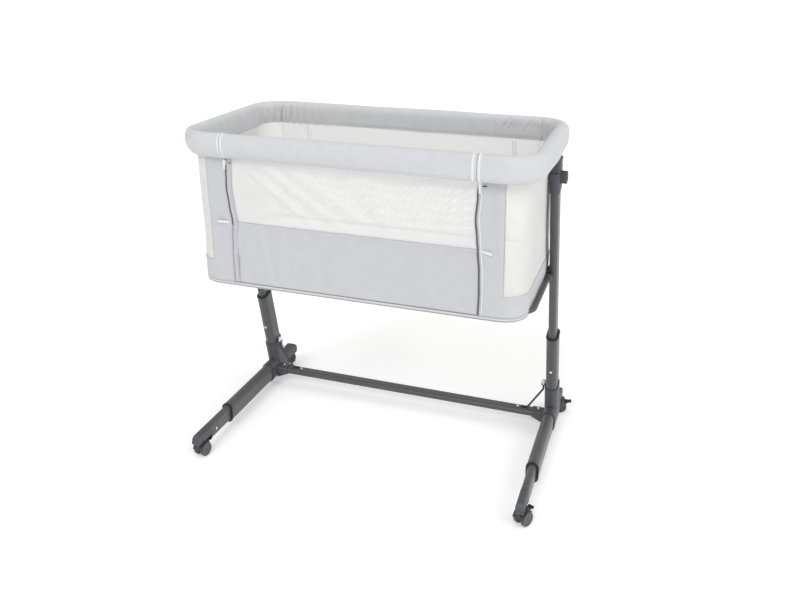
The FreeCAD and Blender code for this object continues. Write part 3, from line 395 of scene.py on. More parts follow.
RIM_GREY = (0.575, 0.58, 0.60)
MATERIALS = {
    "rim_fabric": woven("rim_fabric", RIM_GREY, crumple=0.22),
    "grey_fabric": woven("grey_fabric", (0.52, 0.524, 0.548)),
    "tape_fabric": woven("tape_fabric", (0.50, 0.495, 0.535), thread=0.0009, crumple=0.1),
    "cover_fabric": woven("cover_fabric", (0.50, 0.50, 0.52), thread=0.0009),
    "piping_fabric": woven("piping_fabric", (0.58, 0.58, 0.59), thread=0.0008, crumple=0.1),
    "mattress_fabric": woven("mattress_fabric", (0.82, 0.82, 0.81), thread=0.0008, contrast=0.02),
    "webbing": woven("webbing", (0.72, 0.72, 0.735), thread=0.0011, contrast=0.03, crumple=0.1),
    "edge_tape": woven("edge_tape", (0.60, 0.57, 0.59), thread=0.0009, crumple=0.1),
    "white_tape": woven("white_tape", (0.86, 0.86, 0.86), thread=0.0009, contrast=0.02, crumple=0.1),
    "mesh_fabric": netting("mesh_fabric", (0.79, 0.79, 0.775), 0.0026, 0.22),
    "window_mesh": netting("window_mesh", (0.785, 0.785, 0.785), 0.0024, 0.22),
    "stand_metal": coated("stand_metal", (0.072, 0.073, 0.075), rough=0.36),
    "frame_metal": coated("frame_metal", (0.060, 0.058, 0.062)),
    "rod_metal": coated("rod_metal", (0.035, 0.035, 0.038), rough=0.35),
    "moulded_slate": coated("moulded_slate", (0.062, 0.064, 0.074), rough=0.5, grain=1500.0, strength=0.25),
    "collar_plastic": coated("collar_plastic", (0.022, 0.022, 0.026), rough=0.5, grain=1500.0),
    "cap_plastic": coated("cap_plastic", (0.066, 0.060, 0.058), rough=0.5, grain=1500.0, strength=0.25),
    "caster_plastic": coated("caster_plastic", (0.040, 0.037, 0.037), rough=0.48, grain=1500.0, strength=0.2),
    "wheel_plastic": coated("wheel_plastic", (0.085, 0.078, 0.072), rough=0.45, grain=1200.0),
    "brake_plastic": coated("brake_plastic", (0.012, 0.012, 0.012), rough=0.4),
    "socket_plastic": coated("socket_plastic", (0.2, 0.2, 0.21), rough=0.5),
    "zip_teeth": zip_teeth("zip_teeth", (0.095, 0.088, 0.094)),
    "zip_pale": zip_teeth("zip_pale", (0.34, 0.34, 0.37)),
    "zip_white": coated("zip_white", (0.78, 0.78, 0.79), rough=0.3),
    "board": coated("board", (0.42, 0.30, 0.19), rough=0.75, grain=300.0),
    "chrome": bright_metal("chrome", (0.80, 0.80, 0.80), 0.18),
    "rail_steel": bright_metal("rail_steel", (0.55, 0.55, 0.56), 0.35),
}


def dress_frame():
    """Every carried-over node gets its material."""
    slots = {row["node"]: row["material_slot"] for row in frame["record"]["subparts"]}
    for name, thing in frame["nodes"].items():
        if not thing.material_slots:
            thing.data.materials.append(None)
        for held in thing.material_slots:
            held.material = MATERIALS[slots[name]]


# ---------------------------------------------------------------- padded rim
# Sections of the rim, out from its outer face and up from its underside: tucked in, and boxy
TUCKED = ((-0.0270, 0.0), (-0.0170, 0.0045), (-0.0080, 0.0145), (-0.0015, 0.028), (0.0, 0.042), (-0.0022, 0.0535),
          (-0.0090, 0.0628), (-0.0180, 0.066), (-0.0270, 0.0628), (-0.0338, 0.0535), (-0.0360, 0.040),
          (-0.0360, 0.020), (-0.0345, 0.006), (-0.0315, 0.0))
BOXY = ((-0.0240, -0.001), (-0.0090, 0.001), (-0.0022, 0.008), (-0.0003, 0.022), (0.0, 0.040), (-0.0015, 0.0530),
        (-0.0075, 0.0620), (-0.0180, 0.066), (-0.0285, 0.0628), (-0.0345, 0.0535), (-0.0360, 0.040),
        (-0.0360, 0.020), (-0.0345, 0.006), (-0.0310, 0.0))


def closed_spline(points, count):
    """Even points along a closed Catmull-Rom curve."""
    points = np.array(points)
    n = len(points)
    t = np.linspace(0, n, 24 * n, endpoint=False)
    k = t.astype(int)
    f = (t - k)[:, None]
    p0, p1, p2, p3 = (points[(k + d) % n] for d in (-1, 0, 1, 2))
    curve = 0.5 * (2 * p1 + (p2 - p0) * f + (2 * p0 - 5 * p1 + 4 * p2 - p3) * f ** 2
                   + (3 * p1 - p0 - 3 * p2 + p3) * f ** 3)
    ring = np.vstack([curve, curve[:1]])
    length = np.concatenate([[0], np.cumsum(np.linalg.norm(np.diff(ring, axis=0), axis=1))])
    even = np.linspace(0, length[-1], count, endpoint=False)
    return np.stack([np.interp(even, length, ring[:, d]) for d in (0, 1)], 1)


def section_normals(section):
    """Outward directions in the plane of each closed section."""
    step = np.roll(section, -1, -2) - np.roll(section, 1, -2)
    turned = np.stack([step[..., 1], -step[..., 0]], -1)
    turned /= np.linalg.norm(turned, axis=-1)[..., None]
    inside = section - section.mean(-2, keepdims=True)
    return turned * np.sign((turned * inside).sum(-1))[..., None]


def rim_sections(place, around):
    """Section of the rim at each place: tucked in at the left end, boxy at the right."""
    boxy = smooth((place[:, 0] + 0.75 * RIM_X) / (1.7 * RIM_X))[:, None, None]
    return (1 - boxy) * closed_spline(TUCKED, around) + boxy * closed_spline(BOXY, around)


def left_end_at(y):
    """Arc length on the rim's outer face at which the left end reaches y from mid-depth."""
    a, b, quarter = RIM_X - RIM_CORNER, RIM_Y - RIM_CORNER, math.pi * RIM_CORNER / 2
    return 3 * a + 3 * quarter + 2 * b + (b - y)


def corner_places():
    """Arc lengths of the four corners' middles round the rim's outer face, from the front's middle."""
    a, b, quarter = RIM_X - RIM_CORNER, RIM_Y - RIM_CORNER, math.pi * RIM_CORNER / 2
    first = a + quarter / 2
    second = first + quarter + 2 * b
    return [first, second, second + quarter + 2 * a, second + 2 * quarter + 2 * a + 2 * b]


def rim_folds(chance):
    """Folds of the rim's inner face: place, lean, lowest and highest point, width and depth."""
    rim = (RIM_X, RIM_Y, RIM_CORNER)
    folds = []
    for x, lean, depth in ((-0.432, 0.05, 3.0), (-0.400, 0.10, 4.4), (-0.386, -0.15, 1.4), (-0.364, 0.06, 3.4),
                           (-0.345, -0.1, 1.4), (-0.321, 0.15, 2.0), (-0.296, 0.0, 1.0), (-0.255, 0.2, 1.0)):
        folds.append((back_at(x)(*rim), lean, -0.01, 0.064, 0.0048, depth * 0.001))
    for k in range(8):
        x = 0.290 + 0.016 * k + chance.uniform(-0.003, 0.003)
        folds.append((back_at(x)(*rim), 0.55 - 0.04 * k, 0.026 + 0.001 * k, 0.070, 0.0042,
                      chance.uniform(0.0022, 0.0036)))
    for y, depth in ((0.027, 0.8), (0.057, 1.8), (0.078, 1.0), (0.099, 2.0), (0.116, 1.1), (0.130, 1.8), (0.150, 1.3),
                     (0.163, 2.2)):
        folds.append((left_end_at(y), chance.uniform(-0.2, 0.2), -0.01, 0.058, 0.0034, depth * 0.001))
    for number, corner in enumerate(corner_places()):
        for k in range(8):
            at = corner + (k - 3.5) * 0.016 + chance.uniform(-0.004, 0.004)
            high = 0.060 if number != 1 else 0.066
            folds.append((at, chance.uniform(-0.3, 0.3), -0.01, high, chance.uniform(0.0032, 0.0050),
                          chance.uniform(0.0014, 0.0032)))
    return folds


def rim_relief(s, out, up, seed):
    """Relief of the padded rim: folds on its inner face, cross seams, a sewn line below and slack fabric."""
    chance = random.Random(seed)
    along = s[:, None]
    inner = smooth((-out - 0.022) / 0.010)
    outer = smooth((out + 0.014) / 0.010)
    relief = np.zeros(out.shape)
    for at, lean, low, high, width, depth in rim_folds(random.Random(5)):
        line = along - at + lean * (up - 0.035)
        fade = smooth((up - low) / 0.012) * smooth((high - up) / 0.016)
        relief += depth * fold(line, width) * inner * fade
    for _ in range(int((s[-1] - s[0]) / 0.09)):
        line = along - chance.uniform(s[0], s[-1]) + chance.uniform(-0.7, 0.7) * (up - 0.02)
        relief += chance.uniform(0.0001, 0.0006) * fold(line, chance.uniform(0.003, 0.008)) * inner
        relief -= chance.uniform(0.0001, 0.0005) * bump(line, chance.uniform(0.008, 0.018)) * outer
    rim = (RIM_X, RIM_Y, RIM_CORNER)
    for seam in (back_at(-0.369)(*rim), corner_places()[0] - 0.020, corner_places()[2] + 0.3, back_at(0.26)(*rim)):
        relief -= 0.0013 * bump(along - seam, 0.0016)
    swell = np.array([[noise.noise(Vector((a * 5, u * 12, seed))) for u in np.linspace(0, 1, 9)] for a in s[::8]])
    rows, columns = np.arange(len(s)) / 8, np.linspace(0, 8, out.shape[1])
    low, left = np.minimum(rows.astype(int), len(swell) - 2), np.minimum(columns.astype(int), 7)
    part, share = (rows - low)[:, None], (columns - left)[None, :]
    mixed = ((1 - part) * swell[low] + part * swell[low + 1])
    relief += 0.0010 * (mixed[:, left] * (1 - share) + mixed[:, left + 1] * share)
    relief -= 0.0010 * bump(up - 0.0085, 0.0016) * (outer + smooth((-out - 0.028) / 0.006))
    return relief


def rim_grid(s, around, seed=None, proud=0.0):
    """Grid round the rim at arc lengths s of its outer face, with relief or at a distance proud of it."""
    place, normal = outline(s, RIM_X, RIM_Y, RIM_CORNER)
    section = rim_sections(place, around)
    facing = section_normals(section)
    away = rim_relief(s, section[..., 0], section[..., 1], seed) if seed else 0
    away = away + np.asarray(proud).reshape(-1, 1) if np.ndim(proud) else away + proud
    spot = section + facing * np.broadcast_to(away, section.shape[:2])[..., None]
    x, y = place[:, :1], place[:, 1:] - MID_Y
    outward = spot[..., 0] / PAD_THICK
    slim = LEFT_END_SLIM * smooth((-x - 0.36) / 0.08)
    full = RIGHT_END_PROUD * smooth((x - 0.44) / 0.02) * bump(y, 0.075)
    spot[..., 0] += (full - slim) * np.clip(1 + outward, 0, 1)
    grid = np.zeros(section.shape[:2] + (3,))
    grid[..., :2] = place[:, None, :] + normal[:, None, :] * spot[..., :1]
    grid[..., 2] = RIM_LOW + spot[..., 1]
    uv = np.stack(np.meshgrid(s, np.linspace(0, 0.18, around, endpoint=False), indexing="ij"), -1)
    return grid, uv


def rim_piece(name, start, end, seed, body, node_name):
    """One closed length of padded rim between two arc lengths of its outer face."""
    s = np.linspace(start, end, int(abs(end - start) / 0.0026) + 1)
    grid, uv = rim_grid(s, 80, seed)
    grid, uv = add_ends(grid, uv)
    piece = grid_object(name, grid, uv, closed_columns=True)
    finish_piece(piece, "rim_fabric", body, node_name)
    return piece


def add_ends(grid, uv):
    """Rounds a tube's ends over and closes them in rings towards their middles."""
    def cap(ring, neighbour):
        centre = ring.mean(0)
        along = (ring - neighbour).mean(0)
        along /= np.linalg.norm(along)
        return [centre + (ring - centre) * f + along * d
                for f, d in ((0.985, 0.0003), (0.95, 0.0005), (0.6, 0.0006), (0.25, 0.0006), (0.02, 0.0006))]
    first, last = cap(grid[0], grid[1]), cap(grid[-1], grid[-2])
    extra = np.repeat(uv[:1], len(first), 0), np.repeat(uv[-1:], len(last), 0)
    return (np.concatenate([np.array(first)[::-1], grid, np.array(last)]),
            np.concatenate([extra[0], uv, extra[1]]))


def binding(start, end):
    """White tape sewn round the rim beside a split."""
    s = np.linspace(start, end, 7)
    grid, uv = rim_grid(s, 80, proud=0.0009 * np.array((-0.5, 0.7, 1.0, 1.05, 1.0, 0.7, -0.5)))
    return grid, uv, True, False


def make_rims():
    """Fixed rim, rim of the drop side, and the white tapes beside the two splits."""
    whole = whole_length(RIM_X, RIM_Y, RIM_CORNER)
    rim_piece("rim_cover", STRIP_X, whole - STRIP_X, 3, "cradle", "rim_pad")
    rim_piece("drop_rim_cover", -PANEL_X, PANEL_X, 8, "drop_side", "front_rim_pad")
    fixed = patch_object("rim_bindings", [binding(0.3305, 0.3370), binding(whole - 0.3350, whole - 0.3300)])
    finish_piece(fixed, "webbing", "cradle")
    drop = patch_object("drop_rim_bindings", [binding(0.3155, 0.3220), binding(-0.3268, -0.3205)])
    finish_piece(drop, "webbing", "drop_side")


# ---------------------------------------------------------------- walls
# How far each zip wanders from its straight line, at heights above the floor
ZIP_WANDER = {-1: ((0.5446, 0.001), (0.62, 0.0), (0.68, -0.003), (0.7044, -0.0062), (0.7182, -0.0058),
                   (0.7619, 0.0), (0.8096, 0.004), (0.8494, 0.002), (0.889, 0.0)),
              1: ((0.5446, 0.002), (0.5994, 0.0036), (0.6582, 0.003), (0.7153, -0.001), (0.7436, -0.0033),
                  (0.7911, -0.0072), (0.8499, -0.0030), (0.889, 0.0))}


def wander(sign, z):
    """Outward shift of the left (-1) or right (1) zip at height z."""
    points = np.array(ZIP_WANDER[sign])
    z = np.asarray(z, float)
    k = np.clip(np.searchsorted(points[:, 0], z) - 1, 0, len(points) - 2)
    t = smooth((z - points[k, 0]) / (points[k + 1, 0] - points[k, 0]))
    return points[k, 1] * (1 - t) + points[k + 1, 1] * t


def follow_zips(s, z):
    """Moves the cloth beside a zip along with it."""
    for sign in (-1, 1):
        s = s + sign * wander(sign, z) * bump(s - sign * ZIP_X, 0.04)
    return s


def wall_grid(start, end, z0, z1, columns, rows, relief=None, inset=0.0):
    """Grid of a piece of wall between two places on the outline and two heights, with its cloth coordinates."""
    grid, uv = np.zeros((rows, columns, 3)), np.zeros((rows, columns, 2))
    for i, z in enumerate(np.linspace(z0, z1, rows)):
        size = wall_size(z)
        s = np.linspace(start(*size), end(*size), columns)
        whole = whole_length(*size)
        turned = np.where(s > whole / 2, s - whole, s)
        place, normal = outline(follow_zips(turned, z), *size)
        out = -inset + (relief(turned, z) if relief else 0.0)
        grid[i, :, :2] = place + normal * np.broadcast_to(out, s.shape)[:, None]
        grid[i, :, 2] = z
        uv[i, :, 0], uv[i, :, 1] = s, z
    return grid, uv


def wall_piece(name, start, end, z0, z1, material, body, replaced=(), relief=None, inset=0.0, thickness=CLOTH_THICK,
               pitch=0.005):
    """Sheet between two places on the outline and two heights; gives the piece and its flat size."""
    middle = wall_size((z0 + z1) / 2)
    length = abs(end(*middle) - start(*middle))
    columns, rows = max(3, int(length / pitch) + 1), max(3, int((z1 - z0) / pitch) + 1)
    grid, uv = wall_grid(start, end, z0, z1, columns, rows, relief, inset)
    piece = grid_object(name, grid, uv)
    thicken(piece, thickness)
    finish_piece(piece, material, body, *replaced)
    return piece, (length, z1 - z0)


def window_relief(s, z):
    """Slack net: long soft folds that run down to the left, and a belly between the seams."""
    u = (s + PANEL_X) / (2 * PANEL_X)
    v = (z - SILL_Z) / (RIM_LOW - SILL_Z)
    held = np.minimum(smooth(v * 6) * smooth((1 - v) * 6), smooth(u * 12) * smooth((1 - u) * 12))
    folds = 0.0
    for at, lean, width, depth in ((0.03, 0.34, 0.016, 2.6), (0.07, 0.36, 0.016, -2.0), (0.12, 0.38, 0.022, 3.2),
                                   (0.17, 0.36, 0.022, -2.2), (0.24, 0.40, 0.035, 3.0), (0.40, 0.24, 0.05, -2.0),
                                   (0.52, 0.15, 0.04, 1.6), (0.68, 0.10, 0.06, -2.0), (0.85, -0.12, 0.05, 1.4)):
        folds = folds + 0.001 * depth * bump(u - at - lean * (1 - v), width)
    return (folds - 0.003) * held


def panel_relief(s, z):
    """Grey panel: shallow upright folds on its left, dimples under the sill, a hem along the top."""
    u = (s + PANEL_X) / (2 * PANEL_X)
    v = (z - PANEL_LOW) / (SILL_Z - PANEL_LOW)
    held = smooth(v * 8) * smooth((1 - v) * 10)
    relief = 0.0
    for at, lean, width, depth in ((0.035, -0.05, 0.010, 1.4), (0.060, -0.06, 0.010, -1.4), (0.125, 0.03, 0.013, 1.5),
                                   (0.150, 0.03, 0.012, -1.3), (0.215, -0.02, 0.014, 1.6), (0.245, 0.0, 0.012, -1.2),
                                   (0.31, 0.05, 0.020, 1.4), (0.35, 0.05, 0.025, -1.2), (0.42, 0.01, 0.03, 0.8),
                                   (0.62, -0.04, 0.05, -1.0), (0.80, 0.03, 0.03, 0.9), (0.94, 0.05, 0.02, -1.2)):
        relief = relief + 0.001 * depth * bump(u - at - lean * (1 - v), width)
    for k in range(3):
        line = (u - 0.02) + 0.5 * (v - 0.25 - 0.2 * k)
        relief = relief + 0.0011 * fold(line, 0.006) * bump(u - 0.035, 0.03) * bump(v - 0.25 - 0.2 * k, 0.12)
    relief = relief - 0.0022 * bump(u - 0.985, 0.03) * bump(v - 0.93, 0.10)
    hem = 0.0009 * smooth((z - SILL_Z + 0.0105) / 0.002) - 0.0008 * bump(z - SILL_Z + 0.0115, 0.0016)
    return relief * held + hem


def skirt_relief(s, z):
    """Grey skirt: slack at its foot, soft upright waves in the strips, a sewn hem along the mesh."""
    v = (z - WALL_LOW) / (BAND_TOP - WALL_LOW)
    band = 0.0009 * np.sin(s * 37) * np.sin(s * 11 + 1) * np.clip(1 - v, 0, 1)
    across = (np.abs(s) - STRIP_X) / (MESH_X - STRIP_X)
    high = smooth((z - BAND_TOP) / 0.03)
    strip = 0.0012 * np.sin(across * 7 + z * 9) * high * smooth(across * 4) * smooth((1 - across) * 4)
    hem = 0.0007 * bump(z - BAND_TOP + 0.004, 0.003) * smooth((across - 1) * 30)
    crease = 0.0010 * fold(z - BAND_TOP - 0.05 * (across - 0.4), 0.0025) * bump(across - 0.35, 0.4) * (s > 0)
    return band + strip + hem + crease


def make_skirt():
    """Grey band round the foot, and the strips beside the zips that grow out of it, as one cloth."""
    front, pitch = front_at, 0.005
    top = RIM_LOW + 0.003
    band_rows, strip_rows = int((BAND_TOP - WALL_LOW) / pitch) + 1, int((top - BAND_TOP) / pitch) + 1
    strip_columns = int((MESH_X - STRIP_X) / pitch) + 2
    middle = wall_size((WALL_LOW + BAND_TOP) / 2)
    round_length = front_end(-MESH_X)(*middle) - front(MESH_X)(*middle)
    runs = ((front(STRIP_X), front(MESH_X), strip_columns), (front_end(-MESH_X), front_end(-STRIP_X), strip_columns))
    patches = [wall_grid(front(MESH_X), front_end(-MESH_X), WALL_LOW, BAND_TOP, int(round_length / pitch) + 1,
                         band_rows, skirt_relief)]
    for start, end, columns in runs:
        patches.append(wall_grid(start, end, WALL_LOW, BAND_TOP, columns, band_rows, skirt_relief))
        patches.append(wall_grid(start, end, BAND_TOP, top, columns, strip_rows, skirt_relief))
    piece = patch_object("skirt_cloth", [(grid, uv, False, False) for grid, uv in patches])
    thicken(piece, CLOTH_THICK)
    finish_piece(piece, "grey_fabric", "cradle", "skirt")
    width = front_end(-STRIP_X)(*middle) - front(STRIP_X)(*middle)


def end_relief(s, z):
    """End meshes: faint slack between their seams."""
    v = (z - BAND_TOP) / (RIM_LOW - BAND_TOP)
    held = smooth(v * 6) * smooth((1 - v) * 6)
    return (0.0010 * np.sin(s * 21 + 6 * v) - 0.0008) * held


def make_walls():
    """Nets, panel and tapes of the four walls."""
    front, back = front_at, back_at
    window, size = wall_piece("front_net", front(-PANEL_X), front(PANEL_X), SILL_Z - 0.004, RIM_LOW + 0.004,
                              "window_mesh", "drop_side", ("front_window",), window_relief, inset=NET_INSET,
                              thickness=NET_THICK)
    panel, size = wall_piece("front_cloth", front(-PANEL_X), front(PANEL_X), PANEL_LOW, SILL_Z, "grey_fabric",
                             "drop_side", ("front_panel",), panel_relief, pitch=0.0035)
    tape, size = wall_piece("zip_side_tape", front(-PANEL_X), front(-0.3155), PANEL_LOW, RIM_LOW, "tape_fabric",
                            "drop_side", (), lambda s, z: 0.0013 + 0 * s, thickness=0.0008, pitch=0.003)
    for side, sign in (("left", -1), ("right", 1)):
        ends = (front(MESH_X), back(MESH_X)) if sign > 0 else (back(-MESH_X), front_end(-MESH_X))
        net, size = wall_piece("end_net_" + side, *ends, BAND_TOP - 0.004, RIM_LOW + 0.004, "mesh_fabric", "cradle",
                               ("end_mesh_" + side,), end_relief, inset=NET_INSET,
                               thickness=NET_THICK)
    net, size = wall_piece("back_net", back(MESH_X), back(-MESH_X), BAND_TOP - 0.004, RIM_LOW + 0.004, "mesh_fabric",
                           "cradle", ("back_mesh",), inset=NET_INSET, thickness=NET_THICK)
    for number, x in enumerate(SEAM_TAPES):
        tape, size = wall_piece("seam_tape_%d" % number, back(x + 0.0055), back(x - 0.0055), BAND_TOP, RIM_LOW,
                                "white_tape", "cradle", (), inset=0.0026, thickness=NET_THICK, pitch=0.004)


# ---------------------------------------------------------------- zips and trim
def zip_path(sign, z0, z1, aside=0.0, out=0.0012):
    """Points down the left (-1) or right (1) zip, or aside of it."""
    points = []
    for z in np.linspace(z0, z1, int((z1 - z0) / 0.004) + 2):
        points.append(wall_front(sign * (ZIP_X + wander(sign, z) + aside), z, out))
    return points


def make_zips():
    """Coils, tapes and bartacks of the two zips."""
    foot, head = WALL_LOW + 0.003, RIM_LOW - 0.003
    right = tube_object("zip_coil_right", zip_path(1, foot, head), 0.0018, flat=0.6)
    finish_piece(right, "zip_teeth", "cradle", "zip_chains")
    left = tube_object("zip_coil_left", zip_path(-1, SILL_Z - 0.008, head), 0.0021, flat=0.6)
    finish_piece(left, "zip_teeth", "cradle", "zip_chains")
    low = tube_object("zip_coil_left_low", zip_path(-1, foot, SILL_Z - 0.008), 0.0016, flat=0.6)
    finish_piece(low, "zip_pale", "cradle", "zip_chains")
    outer = tube_object("zip_binding_right", zip_path(1, foot, head, 0.0085, 0.0006), 0.0014, flat=0.6)
    finish_piece(outer, "webbing", "cradle")
    inner = tube_object("zip_binding_left", zip_path(-1, PANEL_LOW, head, -0.0135, 0.0018), 0.0009, flat=0.7)
    finish_piece(inner, "edge_tape", "drop_side")
    for name, x0, x1, z, body in (("bartack_right", 0.330, 0.347, 0.8755, "cradle"),
                                  ("bartack_left", -0.3125, -0.322, 0.8765, "drop_side")):
        tack = bar_object(name, wall_front(x0, z, 0.0016), wall_front(x1, z, 0.0016), 0.0016)
        finish_piece(tack, "zip_teeth", body)


def bar_object(name, start, end, radius, stitches=10, around=8, skew=1e-5):
    """Row of tight stitches, its far end a hair askew: a bar with a swelling at every thread."""
    fine = np.linspace(0, 1, 108)
    line = start + (end + skew - start) * fine[:, None]
    radii = radius * (0.85 + 0.15 * np.cos(fine * 2 * math.pi * stitches))
    angle = np.linspace(0, 2 * math.pi, around, endpoint=False)
    rings = [np.stack([np.full(around, x), y + 0.6 * r * np.cos(angle), z + r * np.sin(angle)], 1)
             for (x, y, z), r in zip(line, radii)]
    grid = np.array([line[0] + (rings[0] - line[0]) * 0.05] + rings + [line[-1] + (rings[-1] - line[-1]) * 0.05])
    uv = np.stack(np.meshgrid(np.linspace(0, 0.02, len(grid)), np.linspace(0, 0.01, around), indexing="ij"), -1)
    return grid_object(name, grid, uv, closed_columns=True)


def make_loops():
    """Folded webbing tab beside each zip: out along the strip, rolled over and back under itself."""
    for side, sign, slope in (("left", -1, 0.0), ("right", 1, -0.16)):
        run, roll, stand = 0.029, 0.0023, 0.0012
        plan = [(0.0, 0.0004), (0.004, 0.0012)]
        plan += [(d, stand + 2 * roll * smooth(d / run * 1.3)) for d in np.linspace(0.008, run, 8)]
        plan += [(run + roll * math.sin(a), stand + roll + roll * math.cos(a)) for a in np.linspace(0.4, 2.9, 7)]
        plan += [(d, stand * 0.6) for d in np.linspace(run - 0.003, 0.008, 6)]
        half = 0.0034
        grid = np.zeros((len(plan), 5, 3))
        for i, (along, out) in enumerate(plan):
            for j, up in enumerate(np.linspace(-half, half, 5)):
                x = sign * (STRIP_X + 0.003 + along)
                grid[i, j] = wall_front(x, TAB_Z + up + slope * along, float(out) + 0.0004)
        uv = np.stack(np.meshgrid(np.linspace(0, 0.07, len(plan)), np.linspace(0, 0.008, 5), indexing="ij"), -1)
        piece = grid_object("webbing_tab_" + side, grid, uv)
        thicken(piece, 0.0009, 0.0)
        soft = piece.modifiers.new("soft", "SUBSURF")
        soft.levels = soft.render_levels = 1
        finish_piece(piece, "webbing", "cradle", "webbing_loops")


def make_brace_caps():
    """White push-on cap on the top of each wire brace."""
    low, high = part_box("brace_rods")
    radius = 0.0068
    profile = [(0.0, 0.0), (0.75, 0.0), (0.95, 0.05), (1.0, 0.18), (1.0, 0.55), (0.94, 0.74), (0.78, 0.90),
               (0.5, 0.985), (0.02, 1.0)]
    angle = np.linspace(0, 2 * math.pi, 28, endpoint=False)
    for side, sign in (("left", -1), ("right", 1)):
        centre = (sign * (high.x - 0.003), (low.y + high.y) / 2)
        grid = np.zeros((len(profile), len(angle), 3))
        for i, (wide, tall) in enumerate(profile):
            grid[i, :, 0] = centre[0] + radius * wide * np.cos(angle)
            grid[i, :, 1] = centre[1] + radius * wide * np.sin(angle)
            grid[i, :, 2] = high.z - 0.0105 + 0.0165 * tall
        uv = np.stack(np.meshgrid(np.linspace(0, 0.02, len(profile)), np.linspace(0, 0.04, len(angle)),
                                  indexing="ij"), -1)
        piece = grid_object("brace_cap_" + side, grid, uv, closed_columns=True)
        soft = piece.modifiers.new("soft", "SUBSURF")
        soft.levels = soft.render_levels = 1
        finish_piece(piece, "zip_white", "base")


def ring_object(name, rings):
    """Closed body through rings of points, its first and last ring drawn in to their middles."""
    rings = [rings[0] * 0.02 + rings[0].mean(0) * 0.98] + rings + [rings[-1] * 0.02 + rings[-1].mean(0) * 0.98]
    grid = np.array(rings)
    uv = np.stack(np.meshgrid(np.linspace(0, 0.04, len(grid)), np.linspace(0, 0.08, grid.shape[1]),
                              indexing="ij"), -1)
    return grid_object(name, grid, uv, closed_columns=True)


def make_clips():
    """Slim clip on each upright's inboard face, with the lug that takes the lower frame's end."""
    frame_low, frame_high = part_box("lower_frame")
    height = (frame_low.z + frame_high.z) / 2
    tube_low, tube_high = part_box("inner_upright_right")
    lean = (tube_high.y - tube_low.y - 0.051) / (tube_high.z - tube_low.z)
    middle_y = tube_high.y - 0.0255 - lean * (height - tube_low.z)
    angle = np.linspace(0, 2 * math.pi, 32, endpoint=False)
    corner = np.stack([np.sign(np.cos(angle)) * np.abs(np.cos(angle)) ** 0.45,
                       np.sign(np.sin(angle)) * np.abs(np.sin(angle)) ** 0.45], 1)
    for side, sign in (("left", -1), ("right", 1)):
        plate = []
        for inboard, share in ((-0.0012, 0.97), (0.0, 1.0), (0.0052, 1.0), (0.0066, 0.97), (0.0074, 0.88)):
            ring = np.zeros((len(angle), 3))
            ring[:, 2] = height + 0.0175 * share * corner[:, 1]
            ring[:, 0] = sign * (tube_low.x - inboard)
            ring[:, 1] = middle_y + 0.021 * share * corner[:, 0] - lean * (ring[:, 2] - height)
            plate.append(ring)
        lug = []
        for y, radius in ((frame_high.y - 0.028, 0.0086), (frame_high.y - 0.027, 0.0094),
                          (frame_high.y + 0.012, 0.0094), (frame_high.y + 0.013, 0.0086)):
            ring = np.zeros((len(angle), 3))
            ring[:, 0] = sign * (frame_high.x - 0.007) + radius * np.cos(angle)
            ring[:, 1] = y
            ring[:, 2] = height + radius * np.sin(angle)
            lug.append(ring)
        for name, rings in (("clip_plate_", plate), ("clip_lug_", lug)):
            piece = ring_object(name + side, rings)
            finish_piece(piece, "moulded_slate", "cradle", "frame_clips")


# ---------------------------------------------------------------- underside, mattress
def make_base():
    """Fabric underside, and the piping round its edge."""
    half_x, half_y, r = WALL_FOOT
    s = np.linspace(0, whole_length(half_x, half_y, r), 480, endpoint=False)
    place, normal = outline(s, half_x, half_y, r)
    middle = np.array((0, MID_Y))
    rings = []
    for share in (0.001, 0.2, 0.4, 0.6, 0.8, 0.93, 0.985, 0.999):
        sag = 0.001 * (1 - share ** 2)
        rings.append(np.column_stack([middle + (place - middle) * share, np.full(len(s), FLOOR_Z + 0.0012 - sag)]))
    grid = np.array(rings)
    depth = np.cumsum(np.concatenate([[0], np.linalg.norm(np.diff(grid[:, 0], axis=0), axis=1)]))
    uv = np.stack(np.meshgrid(depth, s, indexing="ij"), -1)
    cloth = grid_object("base_cloth", grid, uv[..., ::-1], closed_columns=True)
    thicken(cloth, 0.001)
    finish_piece(cloth, "cover_fabric", "cradle", "base_cover")
    radius, height = (PIPING_HIGH - PIPING_LOW) / 2, (PIPING_HIGH + PIPING_LOW) / 2
    angle = np.linspace(0, 2 * math.pi, 16, endpoint=False)
    twist = 1 + 0.035 * np.sin(s[:, None] * 2 * math.pi / 0.011 + angle[None, :])
    roll = np.zeros((len(s), len(angle), 3))
    roll[..., :2] = place[:, None] + normal[:, None] * (radius * twist * np.cos(angle) - radius * 0.9)[..., None]
    roll[..., 2] = height + radius * np.sin(angle) * np.minimum(1, twist)
    uv = np.stack(np.meshgrid(s, np.linspace(0, 0.024, len(angle)), indexing="ij"), -1)
    piece = grid_object("piping_roll", roll, uv, closed_columns=True, closed_rows=True)
    finish_piece(piece, "piping_fabric", "cradle", "base_piping")


